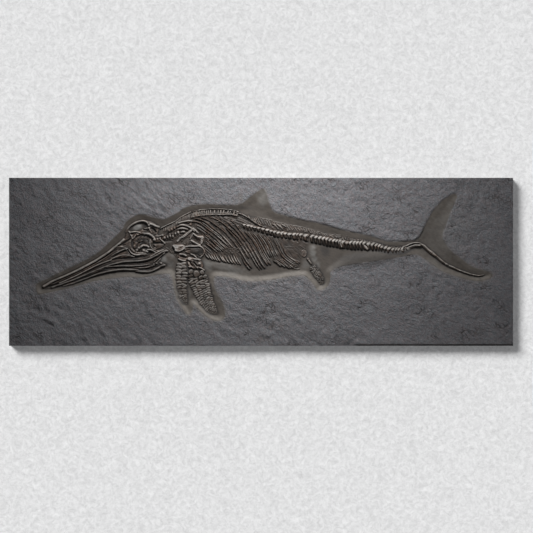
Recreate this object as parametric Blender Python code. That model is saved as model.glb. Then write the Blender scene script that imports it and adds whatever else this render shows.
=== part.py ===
"""A juvenile ichthyosaur fossil: a skeleton lying on its side in a sawn slab of oil shale.

The slab lies on its back. Its face looks along +Z, the animal's head points along -X and its back along +Y.
The origin is under the middle of the slab. Every length below is in millimetres until an object is made.

A preparator has cut the shale away round the body, down to the bedding plane that holds the skin's film.
So the body's outline is the rim of a shallow recess, and the bones lie on the recess's floor.
"""

import math

import bpy
import numpy as np
from mathutils import Vector
from mathutils.geometry import delaunay_2d_cdt

MM = 0.001

# Slab
SLAB_LENGTH = 1350.0
SLAB_WIDTH = 450.0
SLAB_THICKNESS = 30.0
RECESS_DEPTH = 6.0
WALL_RUN = 6.0  # the recess's wall leans out by this much
CHISEL_RELIEF = 0.8  # how far the cleft face rises and falls
CHISEL_SPACING = 56.0
OUTLINE_STEP = 12.0

# Bones
GAP = 0.3  # between neighbouring pieces
FLOOR = SLAB_THICKNESS - RECESS_DEPTH
BED = FLOOR + GAP
RIB_HEIGHT = 5.6
RIB_WIDTH = 6.4
RIB_STEP = 12.0

# Colours, linear, and roughness
SHALE = (0.095, 0.093, 0.098)
BONE = (0.085, 0.065, 0.052)
SHALE_ROUGHNESS = 0.8
BONE_ROUGHNESS = 0.45

BODY_OUTLINE = [
    # Upper side of the snout and head
    (-604, -72), (-600, -58), (-566, -41), (-527, -21), (-482, 0), (-436, 27), (-401, 60), (-375, 85),
    (-360, 110), (-332, 127), (-312, 128), (-289, 121), (-273, 117), (-258, 116),
    # Back
    (-227, 131), (-200, 148), (-150, 156), (-93, 153), (-57, 156),
    # Back fin
    (-40, 167), (-22, 181), (-5, 193), (6, 197), (15, 188), (20, 170), (27, 148), (38, 134),
    # Loin and tail stalk
    (61, 127), (96, 117), (150, 106), (200, 92), (250, 80), (300, 69), (331, 58), (351, 56),
    (400, 57), (417, 62),
    # Upper lobe of the tail fin
    (427, 74), (440, 101), (458, 135), (469, 149), (486, 166), (500, 175), (517, 184), (527, 178),
    (525, 168),
    (514, 143), (503, 115), (492, 85), (488, 71),
    # Lower lobe of the tail fin
    (491, 58), (508, 34), (538, 8), (569, -13), (612, -26), (620, -35), (612, -47), (577, -53),
    (531, -42),
    (486, -26), (450, -2), (424, 15),
    # Underside of the tail
    (400, 17), (354, 8), (300, 0), (251, -7), (209, -15), (188, -27),
    # Hind flipper
    (187, -39), (186, -51), (181, -64), (171, -73), (161, -76), (150, -75), (141, -62), (122, -42),
    # Belly
    (110, -37), (86, -39), (52, -45), (18, -50), (-17, -53), (-51, -50), (-78, -44), (-101, -40),
    (-119, -39),
    # Near fore flipper
    (-125, -45), (-125, -66), (-114, -89), (-100, -115), (-95, -139), (-98, -150), (-106, -157),
    (-117, -159),
    (-130, -157), (-150, -145), (-170, -127), (-180, -114),
    # Far fore flipper
    (-184, -130), (-190, -141), (-200, -140), (-211, -125), (-226, -100), (-233, -75), (-236, -55),
    (-240, -41),
    # Throat and underside of the jaw
    (-248, -33), (-279, -36), (-320, -43), (-360, -42), (-400, -46), (-440, -52), (-480, -62),
    (-520, -73),
    (-560, -82), (-590, -88), (-600, -84),
]

# Skull: its outline, its two openings, and lines of the given heights above the bones' bed
SKULL_OUTLINE = [
    (-585, -66), (-561, -50), (-530, -36), (-501, -23), (-468, -6), (-436, 12), (-406, 32),
    (-392, 45), (-371, 59),
    (-365, 68), (-362, 82), (-352, 94), (-340, 104), (-328, 110), (-315, 112), (-301, 110),
    (-288, 105), (-277, 97),
    (-273, 86), (-276, 76), (-272, 67), (-268, 58), (-260, 50), (-260, 42), (-272, 35), (-288, 29),
    (-300, 21),
    (-312, 15), (-340, 12), (-356, 9), (-390, 8), (-420, -2), (-450, -18), (-500, -40), (-550, -60),
]
EYE = (-317, 48)
EYE_RADII = (28, 21)
CHEEK_OPENING = [(-352, 87), (-342, 96), (-328, 102), (-314, 104), (-303, 99), (-304, 89), (-318, 85),
                 (-336, 86)]
SKULL_LINES = [
    (6.5, [(-566, -56), (-530, -40), (-501, -27), (-468, -11), (-436, 7), (-406, 27), (-390, 41)]),
    (4.0, [(-540, -49), (-500, -32), (-468, -16), (-440, -1), (-412, 16), (-392, 31)]),
    (6.0, [(-545, -55), (-500, -36), (-468, -21), (-440, -6), (-414, 7), (-390, 14), (-356, 16),
           (-344, 17)]),
    (2.0, [(-384, 47), (-366, 57), (-354, 62)]),
    (6.5, [(-384, 37), (-369, 35), (-358, 31)]),
    (7.5, [(-358, 78), (-340, 81), (-328, 77), (-315, 79), (-300, 76), (-287, 66), (-282, 56),
           (-282, 44), (-290, 34)]),
    (7.0, [(-356, 92), (-342, 102), (-328, 107), (-314, 109), (-302, 106)]),
    (6.5, [(-296, 102), (-283, 95)]),
    (6.0, [(-350, 68), (-353, 52), (-350, 34), (-340, 22), (-323, 20), (-306, 23)]),
    (6.5, [(-275, 62), (-266, 50), (-270, 42)]),
]

# Lower jaw
JAW_OUTLINE = [
    (-578, -72), (-550, -62), (-500, -42), (-450, -20), (-420, -4), (-390, 6), (-356, 7), (-340, 10),
    (-312, 13),
    (-300, 19), (-287, 27), (-272, 33), (-258, 38), (-248, 33), (-250, 20), (-255, 5), (-261, -8),
    (-274, -18),
    (-292, -25), (-315, -28), (-350, -25), (-404, -28), (-442, -34), (-492, -51), (-544, -68),
]
JAW_LINES = [
    (5.5, [(-560, -68), (-500, -46), (-450, -25), (-407, -9), (-380, -1), (-351, 3), (-323, 5),
           (-300, 11), (-274, 24),
           (-257, 32)]),
    (2.5, [(-520, -56), (-450, -29), (-400, -16), (-365, -7), (-323, -4), (-300, 2), (-280, 12)]),
    (4.5, [(-420, -21), (-394, -13), (-348, -11), (-305, -8), (-284, 0), (-268, 12)]),
    (2.0, [(-400, -20), (-348, -16), (-305, -14), (-285, -8)]),
    (5.5, [(-490, -48), (-420, -27), (-369, -22), (-328, -24), (-300, -22), (-274, -13)]),
]

# Backbone: each run's middle line, its half height at every point, and the length of one vertebra
NECK_LINE = [(-262, 63), (-248, 67), (-234, 72), (-221, 79)]
NECK_HALF = [5.5, 5.5, 5.5, 5.0]
BACK_LINE = [(-52, 98), (-40, 95), (-20, 90), (0, 85), (20, 80), (40, 75), (60, 72), (83, 69),
             (106, 67), (124, 64)]
BACK_HALF = [6.0, 7.0, 7.5, 8.0, 8.5, 9.0, 9.5, 10.0, 10.5, 11.0]
TAIL_LINE = [(130, 63), (150, 59), (175, 55), (199, 50), (220, 47), (240, 45), (262, 44), (285, 43),
             (308, 40),
             (331, 35), (346, 31), (361, 30), (377, 31), (390, 35), (402, 41), (416, 45), (427, 44)]
TAIL_HALF = [11.0, 12.5, 12.0, 11.0, 11.0, 12.0, 12.5, 13.0, 13.0, 10.5, 10.0, 10.0, 9.5, 9.0, 8.5, 8.0, 7.0]
FIN_LINE = [(434, 41), (446, 31), (458, 22), (472, 11), (486, 0), (498, -8), (514, -16), (531, -23),
            (548, -29),
            (563, -34), (580, -37), (598, -36)]
FIN_HALF = [4.5, 4.5, 4.5, 4.2, 4.0, 3.7, 3.3, 2.9, 2.5, 2.2, 1.9, 1.4]
NECK_PITCH = 7.5
BACK_PITCH = 9.5
TAIL_PITCH = 9.5
FIN_PITCH = 6.5

# The upright spines above the backbone, in three runs
NECK_SPINES = [(-252, 90), (-236, 99), (-221, 111), (-206, 120), (-188, 127)]
BACK_SPINES = [(-184, 128), (-163, 131), (-140, 133), (-119, 134), (-98, 134), (-80, 133), (-63, 129)]
LOIN_SPINES = [(-53, 124), (-34, 116), (-15, 109), (10, 103), (35, 98), (60, 93), (90, 87), (120, 83),
               (150, 76),
               (175, 71), (200, 65)]
NECK_SPINE_HALF = [4.0, 5.5, 6.5, 7.0, 7.5]
BACK_SPINE_HALF = [7.5, 8.0, 8.0, 8.0, 7.5, 7.0, 6.5]
LOIN_SPINE_HALF = [4.0, 7.0, 8.0, 8.5, 8.0, 8.0, 6.0, 5.0, 3.5, 2.8, 2.5]
SPINE_PITCH = 8.7

# Ribs, from the shoulder to the loin, each from its head down to its tip
RIBS = [
    [(-149, 50), (-141, 44), (-132, 37), (-123, 30), (-115, 23)],
    [(-147, 60), (-138, 52), (-128, 43), (-118, 34), (-109, 25)],
    [(-152, 74), (-143, 67), (-134, 60), (-125, 51), (-116, 42), (-107, 33), (-99, 26)],
    [(-163, 93), (-152, 85), (-142, 78), (-132, 70), (-120, 60), (-111, 51), (-101, 41), (-92, 32)],
    [(-200, 103), (-188, 107), (-175, 107), (-163, 103), (-152, 95), (-142, 87), (-132, 80),
     (-121, 72), (-112, 64),
     (-103, 56), (-94, 47), (-85, 38)],
    [(-183, 117), (-170, 115), (-158, 111), (-148, 105), (-138, 98), (-129, 90), (-120, 83),
     (-111, 76), (-102, 68),
     (-94, 59), (-86, 50), (-78, 41), (-70, 32)],
    [(-161, 119), (-151, 116), (-140, 111), (-131, 105), (-121, 98), (-111, 91), (-103, 84),
     (-95, 77), (-87, 68),
     (-79, 59), (-71, 50), (-64, 41), (-57, 31), (-50, 20), (-44, 10), (-38, 0), (-31, -9), (-24, -18)],
    [(-53, 15), (-49, 7), (-46, 0), (-40, -9), (-34, -16), (-28, -22)],
    [(-96, 93), (-88, 85), (-79, 75), (-70, 65), (-63, 56), (-56, 47), (-50, 38), (-44, 29),
     (-38, 19), (-32, 9)],
    [(-142, 121), (-131, 118), (-119, 114), (-109, 108), (-99, 101), (-89, 92), (-80, 84), (-72, 76),
     (-63, 67),
     (-56, 58), (-49, 49), (-43, 40), (-36, 30), (-29, 18), (-22, 7), (-15, -4), (-9, -14), (-3, -23)],
    [(-112, 118), (-100, 112), (-89, 105), (-79, 97), (-71, 89), (-62, 79), (-54, 69), (-47, 60),
     (-40, 51),
     (-34, 41), (-28, 31), (-22, 20), (-16, 10), (-10, 0), (-4, -10), (3, -21)],
    [(-84, 112), (-74, 105), (-65, 95), (-57, 85), (-49, 75), (-42, 66), (-35, 57), (-29, 48),
     (-23, 38), (-17, 27),
     (-11, 17), (-5, 7), (1, -3), (7, -12), (12, -19)],
    [(-46, 82), (-37, 75), (-29, 66), (-22, 57), (-16, 47), (-11, 38), (-5, 27), (1, 16), (7, 7),
     (13, -2), (19, -11)],
    [(-28, 77), (-20, 68), (-13, 59), (-7, 49), (-2, 40), (3, 30), (8, 20), (14, 10), (20, 1),
     (27, -9)],
    [(-13, 75), (-6, 67), (0, 59), (6, 49), (11, 40), (15, 31), (20, 21), (25, 11)],
    [(1, 71), (8, 63), (14, 56), (20, 47), (24, 38), (28, 29), (32, 20), (36, 11)],
    [(14, 67), (20, 60), (27, 51), (32, 42), (36, 33), (40, 24), (45, 13)],
    [(31, 61), (36, 54), (41, 46), (45, 37), (49, 29), (54, 20), (61, 12), (69, 5), (77, -1),
     (86, -7), (96, -12)],
    [(52, 55), (55, 46), (59, 38), (62, 30), (67, 21), (73, 14), (81, 8), (90, 2), (100, -5)],
    [(31, 4), (40, -1), (48, -7), (56, -13)],
    [(44, 6), (53, 0), (61, -6), (69, -12), (77, -19)],
    [(56, 8), (64, 1), (72, -6), (80, -12), (89, -18)],
]
NECK_RIBS = [
    [(-228, 92), (-218, 97), (-207, 98), (-194, 94), (-184, 88), (-176, 80)],
    [(-226, 86), (-216, 89), (-205, 89), (-194, 86)],
    [(-217, 78), (-209, 80), (-202, 79)],
]

# Shoulder, hip and flippers
COLLAR_BONE = [(-188, 82), (-196, 75), (-205, 69), (-216, 63), (-222, 57)]
SHOULDER_BLADE = [(-184, 74), (-180, 78), (-172, 70), (-155, 69), (-151, 61), (-158, 49), (-163, 50),
                  (-166, 60),
                  (-174, 65)]
BREAST_PLATE = [(-202, 43), (-183, 44), (-166, 43), (-156, 38), (-151, 30), (-153, 21), (-163, 15),
                (-175, 14),
                (-190, 19), (-204, 27)]
BREAST_LINES = [
    (5.5, [(-199, 40), (-183, 41), (-167, 40), (-158, 35), (-155, 29)]),
    (3.0, [(-192, 36), (-180, 37), (-168, 36), (-163, 29)]),
]
THROAT_PLATE = [(-237, 44), (-220, 46), (-206, 43), (-206, 31), (-220, 25), (-230, 27)]
SMALL_BAR = [(-188, 57), (-179, 54), (-168, 48)]
FAR_UPPER_ARM = [(-219, 22), (-210, 23), (-200, 18), (-198, 8), (-204, 1), (-216, 3), (-222, 12)]
NEAR_UPPER_ARM = [(-190, 10), (-176, 11), (-163, 8), (-157, -2), (-156, -14), (-164, -19),
                  (-180, -19), (-192, -14),
                  (-195, -3)]
FAR_FRONT_EDGE = [(-227, -2), (-227, -15), (-226, -30), (-226, -50), (-224, -70), (-219, -90),
                  (-211, -108), (-203, -121)]
FAR_BACK_EDGE = [(-203, -2), (-201, -12), (-199, -30), (-199, -50), (-198, -70), (-197, -90),
                 (-196, -108), (-196, -123)]
NEAR_FRONT_EDGE = [(-192, -22), (-190, -40), (-188, -60), (-182, -80), (-174, -100), (-163, -118),
                   (-150, -133),
                   (-136, -145)]
NEAR_BACK_EDGE = [(-157, -22), (-148, -38), (-140, -53), (-137, -72), (-131, -92), (-122, -112),
                  (-115, -129),
                  (-114, -146)]
HIND_FRONT_EDGE = [(128, -17), (135, -29), (145, -40), (152, -52), (158, -63)]
HIND_BACK_EDGE = [(145, -8), (156, -20), (164, -34), (169, -48), (172, -62)]
HIP_BONE = [(108, 31), (114, 33), (119, 27), (119, 17), (113, 12), (107, 18)]
THIGH_BONE = [(124, 5), (130, -1), (137, -7)]

# Belly ribs: each patch's two ends, each a line that the ribs start or stop on, and how many ribs lie between
FRONT_BELLY_HEADS = [(-148, 18), (-120, 17), (-90, 16), (-70, 17), (-60, 22)]
FRONT_BELLY_TIPS = [(-138, 6), (-108, 2), (-78, -3), (-62, -6), (-50, -6)]
FRONT_BELLY_RIBS = 13


def smooth_path(points, step, closed=False):
    """Points about a step apart along a Catmull-Rom curve through the given ones."""
    points = np.asarray(points, float)
    if closed:
        padded = np.vstack([points[-1], points, points[:2]])
    else:
        padded = np.vstack([2 * points[0] - points[1], points, 2 * points[-1] - points[-2]])
    path = []
    for before, start, end, after in zip(padded, padded[1:], padded[2:], padded[3:]):
        count = max(1, round(float(np.linalg.norm(end - start)) / step))
        for t in np.arange(count) / count:
            bend = 2 * before - 5 * start + 4 * end - after
            twist = 3 * start + after - before - 3 * end
            path.append(start + 0.5 * t * (end - before + t * (bend + t * twist)))
    if not closed:
        path.append(points[-1])
    return np.array(path)


def even_path(points, step, even_gaps=False):
    """Stations at equal distances along the smooth curve, and each one's share of its length."""
    fine = smooth_path(points, 1.0)
    gaps = max(1, round(float(np.linalg.norm(np.diff(fine, axis=0), axis=1).sum()) / step))
    if even_gaps:
        gaps += gaps % 2
    shares = np.linspace(0.0, 1.0, gaps + 1)
    return along(points, shares), shares


def along(points, shares):
    """Points on the smooth curve at the given shares of its length."""
    fine = smooth_path(points, 1.0)
    run = np.concatenate([[0.0], np.cumsum(np.linalg.norm(np.diff(fine, axis=0), axis=1))])
    return np.column_stack([np.interp(np.asarray(shares) * run[-1], run, fine[:, axis]) for axis in (0, 1)])


def sideways(path):
    """The unit vector across the path at each of its points, to its left."""
    along = np.gradient(path, axis=0)
    along /= np.linalg.norm(along, axis=1, keepdims=True)
    return np.column_stack([-along[:, 1], along[:, 0]])


def spread(values, shares):
    """The values, given at even shares of a length, read off at other shares."""
    return np.interp(shares, np.linspace(0.0, 1.0, len(values)), values)


def within(points, polygon):
    """For each point, whether it lies inside the polygon, by the even-odd rule."""
    x, y = np.asarray(points, float).T
    corners = np.asarray(polygon, float)
    inside = np.zeros(len(x), bool)
    for (x0, y0), (x1, y1) in zip(corners, np.roll(corners, -1, axis=0)):
        if y0 != y1:
            crossing = x0 + (y - y0) * (x1 - x0) / (y1 - y0)
            inside ^= ((y0 > y) != (y1 > y)) & (x < crossing)
    return inside


def distance(points, line, closed=False):
    """Each point's distance from a line through the given corners."""
    points = np.asarray(points, float)
    line = np.asarray(line, float)
    starts, ends = (line, np.roll(line, -1, axis=0)) if closed else (line[:-1], line[1:])
    nearest = np.full(len(points), np.inf)
    for start, end in zip(starts, ends):
        along = end - start
        share = np.clip((points - start) @ along / (along @ along), 0.0, 1.0)
        nearest = np.minimum(nearest, np.linalg.norm(points - start - share[:, None] * along, axis=1))
    return nearest


def material(name, colour, roughness):
    """A plain material of its own for one object."""
    made = bpy.data.materials.new(name)
    made.use_nodes = True
    shader = made.node_tree.nodes["Principled BSDF"]
    shader.inputs["Base Color"].default_value = (*colour, 1.0)
    shader.inputs["Roughness"].default_value = roughness
    shader.inputs["Metallic"].default_value = 0.0
    return made


def make_object(name, vertices, faces, colour=BONE, roughness=BONE_ROUGHNESS):
    """An object from vertices in millimetres and faces that point out."""
    mesh = bpy.data.meshes.new(name)
    mesh.from_pydata([tuple(MM * float(c) for c in v) for v in vertices], [], faces)
    mesh.materials.append(material(name, colour, roughness))
    made = bpy.data.objects.new(name, mesh)
    bpy.context.scene.collection.objects.link(made)
    return made


def triangulate(points, edges, outline, holes):
    """Triangles that keep the edges and cover the outline without its holes. Returns points, triangles, sources."""
    flat = [Vector((float(x), float(y))) for x, y in points]
    placed, _, triangles, sources, _, _ = delaunay_2d_cdt(flat, edges, [], 0, 1e-5)
    placed = np.array([tuple(p) for p in placed])
    triangles = np.array(triangles)
    middles = placed[triangles].mean(axis=1)
    kept = within(middles, outline)
    for hole in holes:
        kept &= ~within(middles, hole)
    triangles = triangles[kept]
    one, two, three = (placed[triangles[:, i]] for i in range(3))
    turn = (two - one)[:, 0] * (three - one)[:, 1] - (two - one)[:, 1] * (three - one)[:, 0]
    triangles[turn < 0] = triangles[turn < 0][:, ::-1]
    return placed, triangles, sources


def closed_loop(first, count):
    """The edges of a closed line whose points are numbered from first."""
    return [(first + i, first + (i + 1) % count) for i in range(count)]


def open_line(first, count):
    """The edges of an open line whose points are numbered from first."""
    return [(first + i, first + i + 1) for i in range(count - 1)]


def boundary(triangles):
    """The directed edges that only one triangle has."""
    directed = {(a, b) for t in triangles.tolist() for a, b in zip(t, t[1:] + t[:1])}
    return [(a, b) for a, b in directed if (b, a) not in directed]


def relief(name, outline, holes, points, edges, height_at, base, **finish):
    """A solid with a flat base whose upper face passes through the points at the heights that height_at gives."""
    placed, triangles, sources = triangulate(points, edges, outline, holes)
    heights = height_at(placed, sources)
    rim = boundary(triangles)
    below = {index: len(placed) + place for place, index in enumerate(sorted({a for a, _ in rim}))}
    floor_points = placed[list(below)]
    place_of = {index: place for place, index in enumerate(below)}
    floor_edges = [(place_of[a], place_of[b]) for a, b in rim]
    _, floor_triangles, _ = triangulate(floor_points, floor_edges, outline, holes)
    vertices = [(x, y, z) for (x, y), z in zip(placed, heights)] + [(x, y, base) for x, y in floor_points]
    faces = triangles.tolist()
    faces += [[b, a, below[a], below[b]] for a, b in rim]
    faces += [[len(placed) + i for i in t[::-1]] for t in floor_triangles.tolist()]
    return make_object(name, *without_loose(vertices, faces), **finish)


def without_loose(vertices, faces):
    """The vertices that a face uses, and the faces with their new numbers."""
    used = sorted({i for face in faces for i in face})
    number = {old: new for new, old in enumerate(used)}
    return [vertices[i] for i in used], [[number[i] for i in face] for face in faces]


def plate(name, outline, lines=(), holes=(), rim_height=2.5, crown=4.5, **finish):
    """A flat bone: low at its rim, and as high as its lines say. With no lines it has one crown in its middle."""
    points = [tuple(p) for p in outline]
    edges = closed_loop(0, len(points))
    heights = [rim_height] * len(points)
    for hole in holes:
        edges += closed_loop(len(points), len(hole))
        points += [tuple(p) for p in hole]
        heights += [rim_height] * len(hole)
    if not lines:
        middle = np.mean(outline, axis=0)
        shoulder = [tuple(middle + 0.6 * (np.array(p) - middle)) for p in outline]
        edges += closed_loop(len(points), len(shoulder))
        points += shoulder
        heights += [crown] * len(shoulder)
    for height, line in lines:
        edges += open_line(len(points), len(line))
        points += [tuple(p) for p in line]
        heights += [height] * len(line)
    heights = np.array(heights)

    def height_at(placed, sources):
        """The given height, or where two lines cross the nearest point's."""
        found = []
        for spot, source in zip(placed, sources):
            if not source:
                source = [int(np.argmin(np.linalg.norm(np.array(points) - spot, axis=1)))]
            found.append(BED + heights[source].max())
        return found

    return relief(name, outline, holes, points, edges, height_at, BED, **finish)


def sweep(name, path, half_widths, heights, lean=0.0, profile=((-1.0, 0.0), (-0.5, 1.0), (0.5, 1.0), (1.0, 0.0))):
    """A bone swept along a path, flat below and with the given profile above. lean slants its sections."""
    across = sideways(path)
    forward = np.column_stack([across[:, 1], -across[:, 0]])
    vertices = []
    for spot, side, ahead, half, height in zip(path, across, forward, half_widths, heights):
        for width_share, height_share in profile:
            x, y = spot - side * half * width_share - ahead * lean * half * width_share
            vertices.append((x, y, BED + height * height_share))
    ring = len(profile)
    faces = []
    for station in range(len(path) - 1):
        first = station * ring
        for corner in range(ring):
            following = (corner + 1) % ring
            faces.append([first + corner, first + following, first + ring + following, first + ring + corner])
    faces.append(list(range(ring))[::-1])
    faces.append([len(vertices) - ring + i for i in range(ring)])
    return make_object(name, vertices, faces)


def beads(name, line, half_widths, pitch, height, waist=0.88, dip=0.62, lean=0.0):
    """A run of vertebrae or spines grown into one piece: high at each middle, low and narrow at each joint."""
    path, shares = even_path(line, pitch / 2, even_gaps=True)
    at_joint = np.arange(len(path)) % 2 == 0
    half = spread(half_widths, shares) * np.where(at_joint, waist, 1.0)
    tall = height * np.where(at_joint, dip, 1.0)
    vault = ((-1.0, 0.0), (-0.85, 0.6), (0.0, 1.0), (0.85, 0.6), (1.0, 0.0))
    return sweep(name, path, half, tall, lean=lean, profile=vault)


def rib(name, line, neighbours, width=RIB_WIDTH, height=RIB_HEIGHT):
    """A rib, kept clear of its neighbours' middle lines by half of the space between them."""
    path, shares = even_path(line, RIB_STEP)
    half = width / 2 * spread([0.9, 1.0, 1.0, 0.95, 0.85, 0.6], shares)
    for neighbour in neighbours:
        room = distance(path, smooth_path(neighbour, 2.0)) / 2 - GAP
        half = np.minimum(half, np.maximum(room, 1.0))
    tall = height * spread([0.8, 1.0, 1.0, 0.9, 0.7, 0.45], shares)
    return sweep(name, path, half, tall)


def grid_loop(rows, columns):
    """The numbers round the border of a grid of points that is numbered row by row."""
    stride = columns + 1
    first = list(range(stride))
    right = [row * stride + columns for row in range(1, rows + 1)]
    last = [rows * stride + column for column in reversed(range(columns))]
    left = [row * stride for row in reversed(range(1, rows))]
    return first + right + last + left


def grid_edges(rows, columns):
    """The edges along and across a grid of points that is numbered row by row."""
    stride = columns + 1
    across = [(row * stride + column, row * stride + column + 1) for row in range(rows + 1) for column in range(columns)]
    down = [(row * stride + column, (row + 1) * stride + column) for row in range(rows) for column in range(stride)]
    return across + down


def by_source(heights):
    """A height_at for points that all keep the heights they were given."""
    return lambda placed, sources: [BED + max(heights[i] for i in source) for source in sources]


def mosaic(name, front_edge, back_edge, columns, rows, height, shorten=0.5):
    """A flipper's packed finger bones: rows of pads between two edges, low at every joint."""
    lengths = np.linspace(1.0, shorten, rows)
    shares = np.concatenate([[0.0], np.cumsum(lengths)]) / lengths.sum()
    front = along(front_edge, shares)[:, None]
    back = along(back_edge, shares)[:, None]
    across = np.linspace(0.0, 1.0, columns + 1)[None, :, None]
    corners = front + (back - front) * across
    middles = (corners[:-1, :-1] + corners[1:, :-1] + corners[:-1, 1:] + corners[1:, 1:]) / 4
    loop = grid_loop(rows, columns)
    fade = np.linspace(1.0, 0.6, rows + 1)
    joints = np.repeat(0.5 * fade, columns + 1)
    joints[loop] *= 0.6
    points = np.vstack([corners.reshape(-1, 2), middles.reshape(-1, 2)])
    heights = height * np.concatenate([joints, np.repeat(fade[:-1], columns)])
    return relief(name, points[loop], [], points, grid_edges(rows, columns), by_source(heights), BED)


def fan(name, heads, tips, count, height):
    """Ribs packed side by side, each from one line to another, with a low seam between neighbours."""
    rows = 3
    columns = 2 * count
    shares = np.linspace(0.0, 1.0, columns + 1)
    start = along(heads, shares)[None]
    end = along(tips, shares)[None]
    points = start + (end - start) * np.linspace(0.0, 1.0, rows + 1)[:, None, None]
    crest = np.where(np.arange(columns + 1) % 2 == 1, 1.0, 0.4)
    heights = height * np.array([0.6, 1.0, 1.0, 0.5])[:, None] * crest
    points = points.reshape(-1, 2)
    edges = grid_edges(rows, columns)
    return relief(name, points[grid_loop(rows, columns)], [], points, edges, by_source(heights.ravel()), BED)


def eye_ring(name, centre, radii, opening, plates, height):
    """The ring of thin plates round the eye's pupil, low at every joint and at both rims."""
    turns = np.linspace(0.0, 2 * math.pi, 2 * plates, endpoint=False)
    circle = np.column_stack([np.cos(turns), np.sin(turns)])
    outer = circle * radii + centre
    inner = circle * radii * opening + centre
    middle = (outer + inner) / 2
    crest = np.where(np.arange(len(turns)) % 2 == 0, 1.0, 0.6)
    points = np.vstack([outer, middle, inner])
    heights = height * np.concatenate([np.full(len(turns), 0.35), crest, np.full(len(turns), 0.35)])
    edges = [edge for ring in range(3) for edge in closed_loop(ring * len(turns), len(turns))]
    return relief(name, outer, [inner], points, edges, by_source(heights), BED)


def inset(loop, run):
    """A clockwise closed line moved inwards, without the points that would come too near it again."""
    ahead = np.roll(loop, -1, axis=0) - np.roll(loop, 1, axis=0)
    ahead /= np.linalg.norm(ahead, axis=1, keepdims=True)
    moved = loop + run * np.column_stack([ahead[:, 1], -ahead[:, 0]])
    return moved[distance(moved, loop, closed=True) > 0.9 * run]


def cleft_face(x, y):
    """How far the split face of the shale lies above or below its mean plane."""
    swell = math.sin(x / 61.0 + 1.3) * math.cos(y / 47.0 - 0.4)
    ripple = math.sin((x + y) / 23.0) * math.cos((x - 2 * y) / 39.0)
    return CHISEL_RELIEF * (0.6 * swell + 0.4 * ripple)


def slab(name):
    """The sawn slab, with the recess that the preparator cut along the body's outline."""
    rim = smooth_path(BODY_OUTLINE, OUTLINE_STEP, closed=True)
    foot = inset(rim, WALL_RUN)
    half = np.array([SLAB_LENGTH, SLAB_WIDTH]) / 2
    corners = np.array([(-1, -1), (1, -1), (1, 1), (-1, 1)]) * half
    cells = np.round(2 * half / CHISEL_SPACING).astype(int)
    columns = np.linspace(-half[0], half[0], cells[0] + 1)
    rows = np.linspace(-half[1], half[1], cells[1] + 1)
    border = [(x, -half[1]) for x in columns[:-1]] + [(half[0], y) for y in rows[:-1]]
    border += [(x, half[1]) for x in columns[:0:-1]] + [(-half[0], y) for y in rows[:0:-1]]
    scatter = np.random.default_rng(7)
    inner = np.array([(x, y) for x in columns[1:-1] for y in rows[1:-1]])
    inner += scatter.uniform(-0.3, 0.3, inner.shape) * CHISEL_SPACING
    clear = ~within(inner, rim) & (distance(inner, rim, closed=True) > 10.0)
    inner = inner[clear]
    points = np.vstack([border, rim, foot, inner])
    edges = closed_loop(0, len(border)) + closed_loop(len(border), len(rim))
    edges += closed_loop(len(border) + len(rim), len(foot))

    def height_at(placed, sources):
        """The cleft face outside the rim, the leaning wall inside it, and the flat floor past the wall."""
        apart = distance(placed, rim, closed=True)
        inside = within(placed, rim) | (apart < 0.01)
        outside_height = [SLAB_THICKNESS + cleft_face(x, y) for x, y in placed]
        outside_height = SLAB_THICKNESS + (outside_height - np.float64(SLAB_THICKNESS)) * np.clip(apart / 20.0, 0, 1)
        wall_height = SLAB_THICKNESS - RECESS_DEPTH * np.clip(apart / WALL_RUN, 0.0, 1.0)
        return np.where(inside, wall_height, outside_height)

    return relief(name, corners, [], points, edges, height_at, 0.0, colour=SHALE, roughness=SHALE_ROUGHNESS)


def remove_everything():
    """Clears the scene, with the cube that Blender starts with."""
    for found in list(bpy.data.objects):
        bpy.data.objects.remove(found, do_unlink=True)


def skull_bones():
    """The skull with its eye and cheek openings, the ring in the eye, and the lower jaw."""
    turns = np.linspace(0.0, 2 * math.pi, 20, endpoint=False)
    eye_opening = [(EYE[0] + EYE_RADII[0] * math.cos(t), EYE[1] + EYE_RADII[1] * math.sin(t)) for t in turns]
    plate("skull", SKULL_OUTLINE, SKULL_LINES, holes=[eye_opening, CHEEK_OPENING], rim_height=3.5)
    eye_ring("sclerotic_ring", np.array(EYE), np.array(EYE_RADII) - 2.0, 0.5, 14, 4.0)
    plate("lower_jaw", JAW_OUTLINE, JAW_LINES, rim_height=2.5)


def backbone():
    """The vertebrae in four runs, and the spines that stand on them in three."""
    beads("neck_vertebrae", NECK_LINE, NECK_HALF, NECK_PITCH, 6.5)
    beads("back_vertebrae", BACK_LINE, BACK_HALF, BACK_PITCH, 7.0, lean=-0.2)
    beads("tail_vertebrae", TAIL_LINE, TAIL_HALF, TAIL_PITCH, 7.0)
    beads("tail_fin_vertebrae", FIN_LINE, FIN_HALF, FIN_PITCH, 4.5)
    beads("neck_spines", NECK_SPINES, NECK_SPINE_HALF, SPINE_PITCH, 5.0, waist=0.9, lean=0.5)
    beads("back_spines", BACK_SPINES, BACK_SPINE_HALF, SPINE_PITCH, 5.5, waist=0.9, lean=0.4)
    beads("loin_spines", LOIN_SPINES, LOIN_SPINE_HALF, SPINE_PITCH, 4.5, waist=0.9, lean=0.6)


def rib_cage():
    """The ribs one by one, the neck's short ribs, and the thin ribs of the belly."""
    for number, line in enumerate(RIBS):
        neighbours = [RIBS[i] for i in range(len(RIBS)) if i != number and abs(i - number) <= 2]
        rib(f"rib_{number + 1:02d}", line, neighbours)
    for number, line in enumerate(NECK_RIBS):
        neighbours = [other for other in NECK_RIBS if other is not line]
        rib(f"neck_rib_{number + 1}", line, neighbours, width=5.0, height=5.0)
    fan("belly_ribs", FRONT_BELLY_HEADS, FRONT_BELLY_TIPS, FRONT_BELLY_RIBS, 4.5)


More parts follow.
